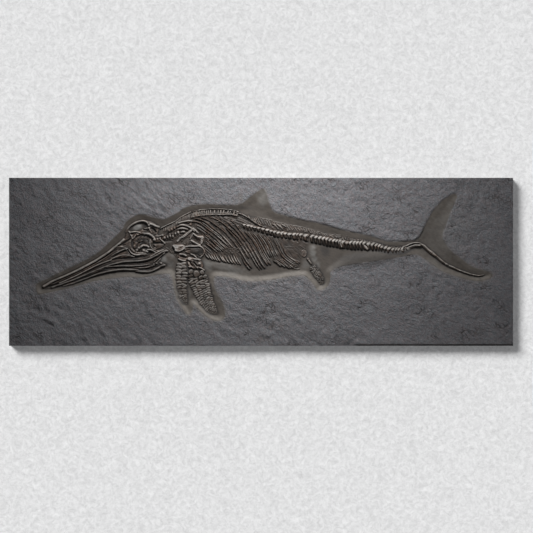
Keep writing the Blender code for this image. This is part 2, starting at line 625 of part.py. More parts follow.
def girdles_and_flippers():
    """The shoulder and hip bones and the three flippers that show."""
    rib("collar_bone", COLLAR_BONE, [], width=5.5, height=6.0)
    plate("shoulder_blade", SHOULDER_BLADE, rim_height=4.0, crown=6.5)
    rib("shoulder_splint", SMALL_BAR, [], width=5.5, height=5.5)
    plate("breast_plate", BREAST_PLATE, BREAST_LINES)
    plate("throat_plate", THROAT_PLATE, rim_height=4.5, crown=6.0)
    plate("far_upper_arm", FAR_UPPER_ARM, rim_height=3.0, crown=5.5)
    plate("near_upper_arm", NEAR_UPPER_ARM, rim_height=3.0, crown=6.5)
    mosaic("far_fore_flipper", FAR_FRONT_EDGE, FAR_BACK_EDGE, 3, 12, 5.0)
    mosaic("near_fore_flipper", NEAR_FRONT_EDGE, NEAR_BACK_EDGE, 4, 15, 5.5)
    mosaic("hind_flipper", HIND_FRONT_EDGE, HIND_BACK_EDGE, 3, 7, 4.5, shorten=0.6)
    plate("hip_bone", HIP_BONE, rim_height=2.5, crown=4.5)
    rib("thigh_bone", THIGH_BONE, [], width=7.0, height=5.0)


def main():
    remove_everything()
    slab("shale_slab")
    skull_bones()
    backbone()
    rib_cage()
    girdles_and_flippers()


main()
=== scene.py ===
"""The looks of the ichthyosaur slab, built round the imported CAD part.

Lengths are in millimetres until a mesh is made. X runs from head to tail, Y to the animal's back, and Z out
of the slab. The slab and every bone are fine meshes that stand for the CAD node of the same name. The crushed
bone between them is a mesh without a node.
"""

import math

import bpy
import numpy as np
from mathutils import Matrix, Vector


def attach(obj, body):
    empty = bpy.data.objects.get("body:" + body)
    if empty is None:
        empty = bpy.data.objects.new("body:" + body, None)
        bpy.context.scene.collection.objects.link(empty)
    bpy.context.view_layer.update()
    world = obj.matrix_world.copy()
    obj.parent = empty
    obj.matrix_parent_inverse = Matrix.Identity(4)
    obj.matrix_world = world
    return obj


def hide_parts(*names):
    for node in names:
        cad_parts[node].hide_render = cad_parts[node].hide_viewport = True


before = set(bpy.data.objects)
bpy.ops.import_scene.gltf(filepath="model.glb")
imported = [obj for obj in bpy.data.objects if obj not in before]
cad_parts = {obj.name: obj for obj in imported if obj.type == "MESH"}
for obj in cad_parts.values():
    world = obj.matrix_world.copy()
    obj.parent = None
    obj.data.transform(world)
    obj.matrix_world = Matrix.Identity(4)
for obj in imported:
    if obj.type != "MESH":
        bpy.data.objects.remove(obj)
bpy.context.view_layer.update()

MM = 0.001

# The slab
HALF_LENGTH = 675.0
HALF_WIDTH = 225.0
FACE = 30.0
FLOOR = 24.0  # of the recess
SUNK = FLOOR - 0.8  # where the bones' hidden undersides lie
EMPTY = SUNK - 1.0  # marks the places of a field that no bone covers
COLUMN_STEP = 2.7
BODY_ROWS = (-162, 200)  # between these two the face's rows lie closer together
SIDE_LEVELS = 9  # rings of points down the slab's sides

# The steps between the points of a bone's path
BONE_STEP = 1.3
RIB_STEP = 1.4
VERTEBRA_STEP = 0.8

# The recess's edge, which follows the body
BODY_OUTLINE = [(-604, -72), (-600, -58), (-566, -41), (-527, -21), (-482, 0), (-436, 27), (-401, 60),
                (-375, 85), (-360, 110), (-332, 127), (-312, 128), (-289, 121), (-273, 117), (-258, 116),
                (-227, 131), (-200, 148), (-150, 156), (-93, 153), (-57, 156), (-40, 167), (-22, 181),
                (-5, 193), (6, 197), (15, 188), (20, 170), (27, 148), (38, 134), (61, 127), (96, 117),
                (150, 106), (200, 92), (250, 80), (300, 69), (331, 58), (351, 56), (400, 57), (417, 62),
                (427, 74), (440, 101), (458, 135), (469, 149), (486, 166), (500, 175), (517, 184),
                (527, 178), (525, 168), (514, 143), (503, 115), (492, 85), (488, 71), (491, 58), (508, 34),
                (538, 8), (569, -13), (612, -26), (620, -35), (612, -47), (577, -53), (531, -42),
                (486, -26), (450, -2), (424, 15), (400, 17), (354, 8), (300, 0), (251, -7), (209, -15),
                (188, -27), (187, -39), (186, -51), (181, -64), (171, -73), (161, -76), (150, -75),
                (141, -62), (122, -42), (110, -37), (86, -39), (52, -45), (18, -50), (-17, -53),
                (-51, -50), (-78, -44), (-101, -40), (-119, -39), (-125, -45), (-125, -66), (-114, -89),
                (-100, -115), (-95, -139), (-98, -150), (-106, -157), (-117, -159), (-130, -157),
                (-150, -145), (-170, -127), (-180, -114), (-184, -130), (-190, -141), (-200, -140),
                (-211, -125), (-226, -100), (-233, -75), (-236, -55), (-240, -41), (-248, -33),
                (-279, -36), (-320, -43), (-360, -42), (-400, -46), (-440, -52), (-480, -62), (-520, -73),
                (-560, -82), (-590, -88), (-600, -84)]

# The skull, the lower jaw and the eye
SKULL_OUTLINE = [(-585, -66), (-561, -50), (-530, -36), (-501, -23), (-468, -6), (-436, 12), (-406, 32),
                 (-392, 45), (-371, 59), (-365, 68), (-362, 82), (-352, 94), (-340, 104), (-328, 110),
                 (-315, 112), (-301, 110), (-288, 105), (-277, 97), (-273, 86), (-276, 76), (-272, 67),
                 (-268, 58), (-260, 50), (-260, 42), (-272, 35), (-288, 29), (-300, 21), (-312, 15),
                 (-340, 12), (-356, 9), (-390, 8), (-420, -2), (-450, -18), (-500, -40), (-550, -60)]
JAW_OUTLINE = [(-580, -73), (-550, -62), (-500, -42), (-450, -20), (-420, -4), (-390, 6), (-356, 7),
               (-340, 10), (-312, 13), (-300, 19), (-287, 27), (-272, 33), (-258, 36), (-250, 31),
               (-261, 19), (-272, 6), (-270, 0), (-260, -3), (-257, -8), (-274, -18), (-292, -26),
               (-315, -29), (-350, -27), (-404, -29), (-442, -35), (-492, -52), (-544, -69)]
EYE = (-317, 48)
EYE_RADII = (31, 24)

# Each rib from its head to its tip
RIBS = [
    [(-149, 50), (-141, 44), (-132, 37), (-123, 30), (-115, 23)],
    [(-147, 60), (-138, 52), (-128, 43), (-118, 34), (-109, 25)],
    [(-152, 74), (-143, 67), (-134, 60), (-125, 51), (-116, 42), (-107, 33), (-99, 26)],
    [(-163, 93), (-152, 85), (-142, 78), (-132, 70), (-120, 60), (-111, 51), (-101, 41), (-92, 32)],
    [(-200, 103), (-188, 107), (-175, 107), (-163, 103), (-152, 95), (-142, 87), (-132, 80), (-121, 72),
     (-112, 64), (-103, 56), (-94, 47), (-85, 38)],
    [(-183, 117), (-170, 115), (-158, 111), (-148, 105), (-138, 98), (-129, 90), (-120, 83), (-111, 76),
     (-102, 68), (-94, 59), (-86, 50), (-78, 41), (-70, 32)],
    [(-161, 119), (-151, 116), (-140, 111), (-131, 105), (-121, 98), (-111, 91), (-103, 84), (-95, 77),
     (-87, 68), (-79, 59), (-71, 50), (-64, 41), (-57, 31), (-50, 20), (-44, 10), (-38, 0), (-31, -9),
     (-24, -18)],
    [(-53, 15), (-49, 7), (-46, 0), (-40, -9), (-34, -16), (-28, -22)],
    [(-96, 93), (-88, 85), (-79, 75), (-70, 65), (-63, 56), (-56, 47), (-50, 38), (-44, 29), (-38, 19),
     (-32, 9)],
    [(-142, 121), (-131, 118), (-119, 114), (-109, 108), (-99, 101), (-89, 92), (-80, 84), (-72, 76),
     (-63, 67), (-56, 58), (-49, 49), (-43, 40), (-36, 30), (-29, 18), (-22, 7), (-15, -4), (-9, -14),
     (-3, -23)],
    [(-112, 118), (-100, 112), (-89, 105), (-79, 97), (-71, 89), (-62, 79), (-54, 69), (-47, 60), (-40, 51),
     (-34, 41), (-28, 31), (-22, 20), (-16, 10), (-10, 0), (-4, -10), (3, -21)],
    [(-84, 112), (-74, 105), (-65, 95), (-57, 85), (-49, 75), (-42, 66), (-35, 57), (-29, 48), (-23, 38),
     (-17, 27), (-11, 17), (-5, 7), (1, -3), (7, -12), (12, -19)],
    [(-46, 82), (-37, 75), (-29, 66), (-22, 57), (-16, 47), (-11, 38), (-5, 27), (1, 16), (7, 7), (13, -2),
     (19, -11)],
    [(-28, 77), (-20, 68), (-13, 59), (-7, 49), (-2, 40), (3, 30), (8, 20), (14, 10), (20, 1), (27, -9)],
    [(-13, 75), (-6, 67), (0, 59), (6, 49), (11, 40), (15, 31), (20, 21), (25, 11)],
    [(1, 71), (8, 63), (14, 56), (20, 47), (24, 38), (28, 29), (32, 20), (36, 11)],
    [(14, 67), (20, 60), (27, 51), (32, 42), (36, 33), (40, 24), (45, 13)],
    [(31, 61), (36, 54), (41, 46), (45, 37), (49, 29), (54, 20), (61, 12), (69, 5), (77, -1), (86, -7),
     (96, -12)],
    [(52, 55), (55, 46), (59, 38), (62, 30), (67, 21), (73, 14), (81, 8), (90, 2), (100, -5)],
    [(31, 4), (40, -1), (48, -7), (56, -13)],
    [(44, 6), (53, 0), (61, -6), (69, -12), (77, -19)],
    [(56, 8), (64, 1), (72, -6), (80, -12), (89, -18)],
]
NECK_RIBS = [
    [(-228, 92), (-218, 97), (-207, 98), (-194, 94), (-184, 88), (-176, 80)],
    [(-226, 86), (-216, 89), (-205, 89), (-194, 86)],
    [(-217, 78), (-209, 80), (-202, 79)],
]

# The middle lines of the backbone's three runs
BACK_LINE = [(-52, 98), (-40, 95), (-20, 90), (0, 85), (20, 80), (40, 75), (60, 72), (83, 69), (106, 67),
             (124, 64)]
TAIL_LINE = [(130, 63), (150, 59), (175, 55), (199, 50), (220, 47), (240, 45), (262, 44), (285, 43),
             (308, 40), (331, 35), (346, 31), (361, 30), (377, 31), (390, 35)]
FIN_LINE = [(426, 46), (436, 41), (446, 32), (458, 22), (472, 11), (486, 0), (498, -8), (514, -16),
            (531, -23), (548, -29), (563, -34), (580, -37), (598, -36)]

# The body's middle: above it, and along the tail, the recess has a gentle wall
MIDDLE_LINE = [(-640, -80), (-500, -30), (-400, 20), (-317, 60), (-200, 80), (0, 80), (200, 48), (430, 36),
               (700, 0)]

# Swells of the recess's floor: centre, radii, turn, height
SWELLS = [
    ((6, 176), (46, 44), 0, 2.4), ((488, 128), (44, 84), -32, 2.8), ((300, 4), (150, 30), 8, 1.4),
    ((-334, 90), (18, 11), 25, 3.4), ((-252, 6), (24, 18), 30, 2.2), ((-105, -14), (56, 14), -8, 1.8),
    ((141, 26), (12, 22), 5, 1.8), ((560, 0), (60, 24), -28, 1.6),
]

# How strongly the recess's lower rim shows as a tan roll, along the body: tan colour made paler with
# painted light, as this rim faces the lamp
RIM_STRENGTH = [(-640, 0.6), (-570, 0.6), (-500, 0.3), (-270, 0.4), (-240, 1.15), (-150, 1.15), (-110, 1.0),
                (164, 1.0), (178, 0.4), (200, 0.04), (420, 0.04), (450, 0.75), (600, 0.75), (640, 0.4)]

# Dark smudges, in the painted shade's colour: partly painted shade in holes and along edges, partly dark
# stains. Each is centre, radii, turn, amount
SMUDGES = [((228, -214), (26, 16), 0, 0.3), ((-26, -64), (20, 10), 0, 0.25),
           ((262, -108), (34, 30), 0, 0.1), ((122, 36), (14, 10), 0, 0.3), ((-60, 146), (60, 8), -4, 0.5),
           ((-310, 97), (10, 8), 0, 0.9), ((118, 34), (14, 12), 0, 0.5), ((-214, 40), (22, 12), 0, 0.5),
           ((290, 2), (130, 26), 8, 0.54), ((205, -16), (24, 16), 30, 0.44), ((20, -31), (50, 7), 4, 0.2),
           ((-370, 104), (26, 12), 45, 0.2), ((-280, -36), (50, 8), 0, 0.24),
           ((172, 30), (20, 24), 0, 0.65), ((250, 12), (70, 18), 8, 0.6), ((-236, -4), (16, 14), 0, 0.16)]

# Patches where the film is thin and the pale matrix shows: centre, radii, turn, amount
PALE_SPOTS = [
    ((6, 172), (26, 34), 0, 0.42), ((139, 38), (12, 15), 0, 0.55), ((140, 22), (12, 15), 0, 0.6),
    ((145, 8), (12, 13), 0, 0.6), ((152, -6), (10, 14), 15, 0.5), ((122, -10), (18, 16), 0, 0.35),
    ((-144, -10), (24, 18), -30, 0.5), ((-260, 8), (14, 12), 30, 0.75), ((-244, -8), (16, 12), -30, 0.4),
    ((-234, 20), (12, 14), 0, 0.3), ((-80, -20), (80, 16), -12, 0.4), ((-333, 90), (17, 10), 25, 0.85),
    ((490, 70), (90, 150), -20, 0.22), ((-191, -84), (7, 22), 0, 0.3), ((-226, -80), (6, 30), 0, 0.2),
]

# A bone's colours from its hollows, near-black as painted shade, to its crests, paler from wear and painted
# light, each with the level of wear and painted light that it shows at
BONE_SHADES = [
    (0.10, (0.006, 0.005, 0.004)), (0.40, (0.026, 0.021, 0.017)),
    (0.70, (0.068, 0.057, 0.049)), (0.95, (0.200, 0.189, 0.176)),
]
BONE_TINTS = (1.0, 0.97, 0.96), (1.24, 0.95, 0.80)
SUNK_BONE = (0.048, 0.040, 0.033)

# Each look of a bone: its material's name, how pale its crests are and how brown its middle tones
BONE_LOOKS = {
    "bone": ("fossil_bone_fine", 1.0, 1.0),
    "finger": ("finger_bone", 0.86, 0.6),
    "rib": ("fossil_rib", 0.96, 1.25),
    "jaw": ("fossil_jaw", 0.58, 1.25),
    "neck": ("neck_bone", 0.84, 1.0),
    "bed": ("crushed_bone_fine", 0.66, 1.25),
}

# The rock's colours
ROCK_DARK, ROCK_LIGHT = (0.106, 0.103, 0.110), (0.140, 0.137, 0.144)
ROCK_HUES = (1.06, 0.98, 0.97), (0.94, 1.01, 1.03)
FLECK = (0.200, 0.197, 0.205)
GRAIN = (0.050, 0.047, 0.050)
SPECK = (0.30, 0.30, 0.31)
RUST = (0.086, 0.066, 0.052)
CRACK = (0.032, 0.024, 0.022)
SAWN_SHADES = [(0.3, (0.035, 0.034, 0.036)), (0.5, (0.070, 0.068, 0.071)), (0.72, (0.115, 0.111, 0.108))]

# The recess's colours: the film of skin, the tan wall with painted light, the pale matrix, and the painted
# shade round the bones, whose colour also darkens the dark smudges and the painted shadow along the lower
# edge
SKIN_DARK, SKIN_LIGHT = (0.0385, 0.0308, 0.0245), (0.0540, 0.0440, 0.0355)
SKIN_GRAIN = (0.022, 0.019, 0.016)
TAN_PAINTED_LIT_WALL = (0.116, 0.102, 0.088)
MATRIX = (0.128, 0.125, 0.119)
PAINTED_SHADE_AND_SMUDGES = (0.012, 0.010, 0.009)

# The camera looks straight down. Lengths are in metres
CAMERA_HEIGHT = 6.0
CAMERA_PLACE = (0.0147, -0.0126)
VIEW_WIDTH = 1.4277  # what the picture's width spans at the slab's face
SENSOR = 36.0
FLOOR_REACH = 12.0


# Numbers and noise

def smooth_path(points, step, closed=False):
    """Points a step apart along a Catmull-Rom curve through the given ones."""
    points = np.asarray(points, float)
    if closed:
        padded = np.vstack([points[-1], points, points[:2]])
    else:
        padded = np.vstack([2 * points[0] - points[1], points, 2 * points[-1] - points[-2]])
    t = np.linspace(0.0, 1.0, 12, endpoint=False)[:, None]
    fine = []
    for before, start, end, after in zip(padded, padded[1:], padded[2:], padded[3:]):
        bend = 2 * before - 5 * start + 4 * end - after
        twist = 3 * start + after - before - 3 * end
        fine.append(start + 0.5 * t * (end - before + t * (bend + t * twist)))
    fine = np.vstack(fine + [points[:1] if closed else points[-1:]])
    run = np.concatenate([[0.0], np.cumsum(np.linalg.norm(np.diff(fine, axis=0), axis=1))])
    count = max(2, round(run[-1] / step) + 1)
    places = np.linspace(0.0, run[-1], count)
    path = np.column_stack([np.interp(places, run, fine[:, axis]) for axis in (0, 1)])
    return path[:-1] if closed else path


def sideways(path):
    """The unit vector across the path at each of its points, to its left."""
    ahead = np.gradient(path, axis=0)
    ahead /= np.linalg.norm(ahead, axis=1, keepdims=True)
    return np.column_stack([-ahead[:, 1], ahead[:, 0]])


def spread(values, shares):
    """The values, given at even shares of a length, read off at other shares."""
    values = np.atleast_1d(np.asarray(values, float))
    if len(values) == 1:
        return np.full(np.shape(shares), values[0])
    return np.interp(shares, np.linspace(0.0, 1.0, len(values)), values)


def at(line, share):
    """The point of a line at a share of its length."""
    return line[int(share * (len(line) - 1))]


def ease(value):
    """A smooth step from 0 to 1 as the value goes from 0 to 1."""
    value = np.clip(value, 0.0, 1.0)
    return value * value * (3.0 - 2.0 * value)


def noise(x, y, size, seed):
    """Smooth random values from -1 to 1 whose lumps are about the size across."""
    table = np.random.default_rng(seed).uniform(-1.0, 1.0, (256, 256))
    u, v = np.asarray(x) / size, np.asarray(y) / size
    column, row = np.floor(u).astype(int), np.floor(v).astype(int)
    right, up = ease(u - column), ease(v - row)

    def level(row):
        return table[row % 256, column % 256] * (1 - right) + table[row % 256, (column + 1) % 256] * right

    return level(row) * (1 - up) + level(row + 1) * up


def wavering(run, size, row, seed):
    """Smooth random values from -1 to 1 along a path, given how far along it each of its points is."""
    return noise(run, run * 0 + row, size, seed)


def tapered(run, reach):
    """1 along a bone, and less within reach of its two ends."""
    return np.sqrt(np.clip(np.minimum(run, run[::-1]) / reach, 0.03, 1.0))


def turned(x, y, degrees):
    """Coordinates along and across a direction."""
    c, s = math.cos(math.radians(degrees)), math.sin(math.radians(degrees))
    return x * c + y * s, y * c - x * s


def patch(x, y, centre, radii, turn, edge, ragged=0.0):
    """An oval's share at each point, from 1 in its middle to 0 outside. A larger edge is a harder border."""
    u, v = turned(x - centre[0], y - centre[1], turn)
    return ease(edge - edge * (np.hypot(u / radii[0], v / radii[1]) + ragged))


def within(x, y, polygon):
    """For each point, whether it lies inside the polygon, by the even-odd rule."""
    inside = np.zeros(np.shape(x), bool)
    for (x0, y0), (x1, y1) in zip(polygon, np.roll(polygon, -1, axis=0)):
        if y0 != y1:
            crossing = x0 + (y - y0) * (x1 - x0) / (y1 - y0)
            inside ^= ((y0 > y) != (y1 > y)) & (x < crossing)
    return inside


def nearest(x, y, line, closed=False):
    """Each point's distance from a line, and the share of the line's points passed at its nearest place."""
    line = np.asarray(line, float)
    starts, ends = (line, np.roll(line, -1, axis=0)) if closed else (line[:-1], line[1:])
    best = np.full(np.shape(x), np.inf)
    place = np.zeros(np.shape(x))
    for number, (start, end) in enumerate(zip(starts, ends)):
        run = end - start
        share = np.clip(((x - start[0]) * run[0] + (y - start[1]) * run[1]) / (run @ run), 0.0, 1.0)
        apart = np.hypot(x - start[0] - share * run[0], y - start[1] - share * run[1])
        closer = apart < best
        best = np.where(closer, apart, best)
        place = np.where(closer, number + share, place)
    return best, place / len(starts)


def room_beside(path, lines):
    """How far each of a path's points is from the nearest of the lines."""
    return np.min([nearest(path[:, 0], path[:, 1], line)[0] for line in lines], axis=0)


def depth_inside(x, y, polygon, reach):
    """Distance to the polygon's edge: positive inside, negative outside, and no more than the reach."""
    apart = np.full(np.shape(x), float(reach))
    low, high = polygon.min(axis=0) - reach, polygon.max(axis=0) + reach
    near = (x > low[0]) & (x < high[0]) & (y > low[1]) & (y < high[1])
    apart[near] = np.minimum(reach, nearest(x[near], y[near], polygon, closed=True)[0])
    return np.where(within(x, y, polygon), apart, -apart)


# Meshes

class Solid:
    """Vertices, faces and two shares for each vertex: its wear with painted light and shade, and how far it
    fades into the film.
    """

    def __init__(self):
        self.vertices, self.faces, self.wear, self.fade, self.count = [], [], [], [], 0

    def add(self, vertices, faces, wear, fade=0.0):
        """Adds vertices, and faces that count them from 0."""
        self.vertices.append(np.asarray(vertices, float))
        self.faces.append(np.asarray(faces, int) + self.count)
        self.wear.append(np.asarray(wear, float))
        self.fade.append(np.zeros(len(vertices)) + fade)
        self.count += len(vertices)

    def piece(self, node, look, **attributes):
        """The object, which stands for a CAD node, or with no node lies on the slab."""
        mesh = bpy.data.meshes.new(f"{node or 'crushed_bone'}_fine")
        vertices = np.vstack(self.vertices) * MM
        faces = np.vstack(self.faces)
        mesh.vertices.add(len(vertices))
        mesh.vertices.foreach_set("co", vertices.ravel())
        mesh.loops.add(faces.size)
        mesh.loops.foreach_set("vertex_index", faces.ravel())
        mesh.polygons.add(len(faces))
        mesh.polygons.foreach_set("loop_start", np.arange(0, faces.size, faces.shape[1]))
        mesh.update(calc_edges=True)
        mesh.validate()
        mesh.polygons.foreach_set("use_smooth", np.full(len(mesh.polygons), True))
        shares = {"wear": np.concatenate(self.wear), "fade": np.concatenate(self.fade), **attributes}
        for name, values in shares.items():
            mesh.attributes.new(name, "FLOAT", "POINT").data.foreach_set("value", np.asarray(values, float))
        mesh.materials.append(look)
        made = bpy.data.objects.new(mesh.name, mesh)
        bpy.context.scene.collection.objects.link(made)
        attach(made, "root")
        if node:
            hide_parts(node)
        return made


def grid_faces(rows, columns):
    """Four-sided faces of a grid of points that is numbered row by row."""
    corner = (np.arange(rows - 1)[:, None] * columns + np.arange(columns - 1)).ravel()
    return np.column_stack([corner, corner + 1, corner + columns + 1, corner + columns])


def tube_faces(stations, ring):
    """Four-sided faces of a tube whose rings are numbered one after another."""
    first = (np.arange(stations - 1)[:, None] * ring + np.arange(ring)).ravel()
    ahead = (np.arange(stations - 1)[:, None] * ring + (np.arange(ring) + 1) % ring).ravel()
    return np.column_stack([first, first + ring, ahead + ring, ahead])


def across_shares(points):
    """Places across a bone from -1 to 1, closer together at its sides."""
    return np.sin(np.linspace(-1.35, 1.35, points)) / math.sin(1.35)


def round_section(t, flatness=2.4):
    """A bone's section: 1 at its middle and 0 at its sides."""
    return (1.0 - np.abs(t) ** flatness) ** 0.6


def grooved_section(t):
    """A section with a groove along its crest."""
    return round_section(t, 2.6) * (1.0 - 0.34 * np.exp(-((t + 0.1) / 0.2) ** 2)) * (1.0 - 0.2 * (t < 0))


def swept(solid, path, half, height, section=round_section, points=11, bend=0.0, seed=0, rough=0.12,
          worked=1.0, fade=0.0, tone=1.0):
    """Adds a bone swept along a path whose half width and height are given at each of the path's points.

    bend moves each point of a section along the path, in half widths. worked multiplies the heights and
    tone the share of wear and painted light at each point of each section. fade is a share for each of the
    path's points. The side toward the animal's back, which faces the lamp, is made paler as painted light.
    """
    t = across_shares(points)
    across = sideways(path)
    count = len(path)
    run = np.concatenate([[0.0], np.cumsum(np.linalg.norm(np.diff(path, axis=0), axis=1))])
    lengthways = run[:, None] + 0.0 * t
    grain = noise(lengthways / 7.0, t * 3.1 + 7.0 * seed, 1.0, seed + 11)
    heights = height[:, None] * section(t) * (1.0 + rough * grain) * worked
    sway = wavering(run, 14.0, seed * 3.3, seed + 5) * 0.6
    offset = t[None] * half[:, None] + sway[:, None]
    ahead = bend * half[:, None]
    x = path[:, :1] + across[:, :1] * offset + across[:, 1:] * ahead
    y = path[:, 1:] + across[:, 1:] * offset - across[:, :1] * ahead
    z = FLOOR + heights
    z[:, 0] = z[:, -1] = SUNK
    # Paler with height (darker sides as painted shade), and paler toward the back, which faces the lamp:
    # painted light
    wear = heights / max(height.max(), 0.01) + 0.3 * t * across[:, 1:]
    wear = np.clip(wear * tone, 0.0, 1.0)
    vertices = np.stack([x, y, z], axis=2).reshape(-1, 3)
    solid.add(vertices, tube_faces(count, points), wear.ravel(), np.repeat(np.zeros(count) + fade, points))


def sheet(solid, x, y, z, wear, fade):
    """Adds the parts of a height field that come up to the floor, with their border below it."""
    rows, columns = z.shape
    shown = z > FLOOR - 0.3
    cells = shown[:-1, :-1] | shown[1:, :-1] | shown[:-1, 1:] | shown[1:, 1:]
    faces = grid_faces(rows, columns)[cells.ravel()]
    used = np.unique(faces)
    number = np.full(rows * columns, -1)
    number[used] = np.arange(len(used))
    z = np.maximum(z, SUNK)
    vertices = np.column_stack([x.ravel(), y.ravel(), z.ravel()])[used]
    solid.add(vertices, number[faces], wear.ravel()[used], fade.ravel()[used])


class Field:
    """Heights on a fine grid, which ridges, grooves and swellings are worked into."""

    def __init__(self, west, south, east, north, step):
        self.x, self.y = np.meshgrid(np.arange(west, east, step), np.arange(south, north, step))
        self.z = np.full(self.x.shape, EMPTY)
        self.wear_and_painted_light_levels = np.zeros(self.x.shape)
        self.step = step

    def near(self, low, high, reach):
        """The block of the grid that lies within reach of a box."""
        columns = (self.x[0] > low[0] - reach) & (self.x[0] < high[0] + reach)
        rows = (self.y[:, 0] > low[1] - reach) & (self.y[:, 0] < high[1] + reach)
        return np.ix_(rows, columns)

    def plateau(self, outline, height, slope, holes=()):
        """A flat bone with rounded edges. Each hole is (outline, slope)."""
        outline = smooth_path(outline, 2.0, closed=True)
        inside = depth_inside(self.x, self.y, outline, 12.0)
        rise = height * np.sqrt(np.clip(inside / slope, 0.0, 1.0)) - 2.0 * np.clip(-inside, 0.0, 1.0)
        for hole, run in holes:
            depth = depth_inside(self.x, self.y, smooth_path(hole, 2.0, closed=True), 12.0)
            rise = rise * np.sqrt(np.clip(-depth / run, 0.0, 1.0)) - 2.0 * np.clip(depth, 0.0, 1.0)
        self.z = np.maximum(self.z, np.where(rise > -0.9, FLOOR + rise, EMPTY))

    def cover(self, block, t, rise):
        """Raises a block of the grid to a rise above the floor, where t is under 1."""
        self.z[block] = np.maximum(self.z[block], np.where(t < 1.0, FLOOR + rise, EMPTY))

    def ridge(self, line, half, height, power, add=False, steep=0.0):
        """A ridge along a line. It stands on the floor, or with add on what is there.

        With steep its side toward the animal's back is narrower, and the other one wider.
        """
        line = smooth_path(line, 2.0)
        widest = float(np.max(half)) * (1 + steep)
        block = self.near(line.min(axis=0), line.max(axis=0), widest)
        apart, share = nearest(self.x[block], self.y[block], line)
        level = np.interp(share * (len(line) - 1), np.arange(len(line)), line[:, 1])
        side = (self.y[block] - level) / np.maximum(apart, 0.01)
        t = np.clip(apart / (spread(half, share) * (1 - steep * side)), 0.0, 1.0)
        rise = spread(height, share) * (1.0 - t * t) ** power
        if add:
            self.z[block] += rise
        else:
            self.cover(block, t, rise)

    def groove(self, line, half, depth):
        """A groove cut along a line."""
        self.ridge(line, half, -np.asarray(depth, float), power=1.5, add=True)

    def dome(self, centre, radii, height, turn):
        """An oval swelling."""
        block = self.near(np.array(centre), np.array(centre), max(radii))
        u, v = turned(self.x[block] - centre[0], self.y[block] - centre[1], turn)
        t = np.clip(np.hypot(u / radii[0], v / radii[1]), 0.0, 1.0)
        self.cover(block, t, height * (1.0 - t * t) ** 0.7)

    def wear_at(self, centre, radii, turn, amount):
        """Paints an oval patch of the bone paler, mostly as a painted highlight, or with a negative amount
        darker, mostly as painted shade in a hollow.
        """
        self.wear_and_painted_light_levels += amount * patch(self.x, self.y, centre, radii, turn, 1.4)

    def roughen(self, size, depth, direction, stretch, seed):
        """Fine striations along a direction, faded out at the bones' edges."""
        u, v = turned(self.x, self.y, direction)
        amount = noise(u / stretch, v, size, seed) * depth
        self.z += amount * np.clip((self.z - FLOOR) / 1.5, 0.0, 1.0)

    def blurred(self, reach):
        """The heights, floor included, averaged over a square."""
        size = max(1, round(reach / self.step))
        level = np.maximum(self.z, FLOOR)
        for axis in (0, 1):
            margin = [(size + 1, size) if side == axis else (0, 0) for side in (0, 1)]
            total = np.cumsum(np.pad(level, margin, "edge"), axis)
            count = self.z.shape[axis]
            late = np.take(total, np.arange(2 * size + 1, 2 * size + 1 + count), axis)
            early = np.take(total, np.arange(count), axis)
            level = (late - early) / (2 * size + 1)
        return level

    def into(self, solid, fade=0.0, most=1.0):
        """Adds the bones above the floor. What rises above its surroundings is paler, as wear and painted
        light, and what lies lower darker, as painted shade; slopes facing the lamp are paler as painted
        light. The share goes no higher than most.
        """
        relief = np.maximum(self.z, FLOOR) - self.blurred(6.0)
        slope = -np.gradient(np.maximum(self.z, FLOOR), self.step, axis=0)
        # Relief gives wear and painted shade, and the slope toward the lamp gives painted light
        wear = np.clip(0.40 + relief / 3.8 + 0.12 * np.clip(slope, -1.5, 1.5) + self.wear_and_painted_light_levels, 0.0, most)
        sheet(solid, self.x, self.y, self.z, wear, fade + 0 * self.x)


# Materials

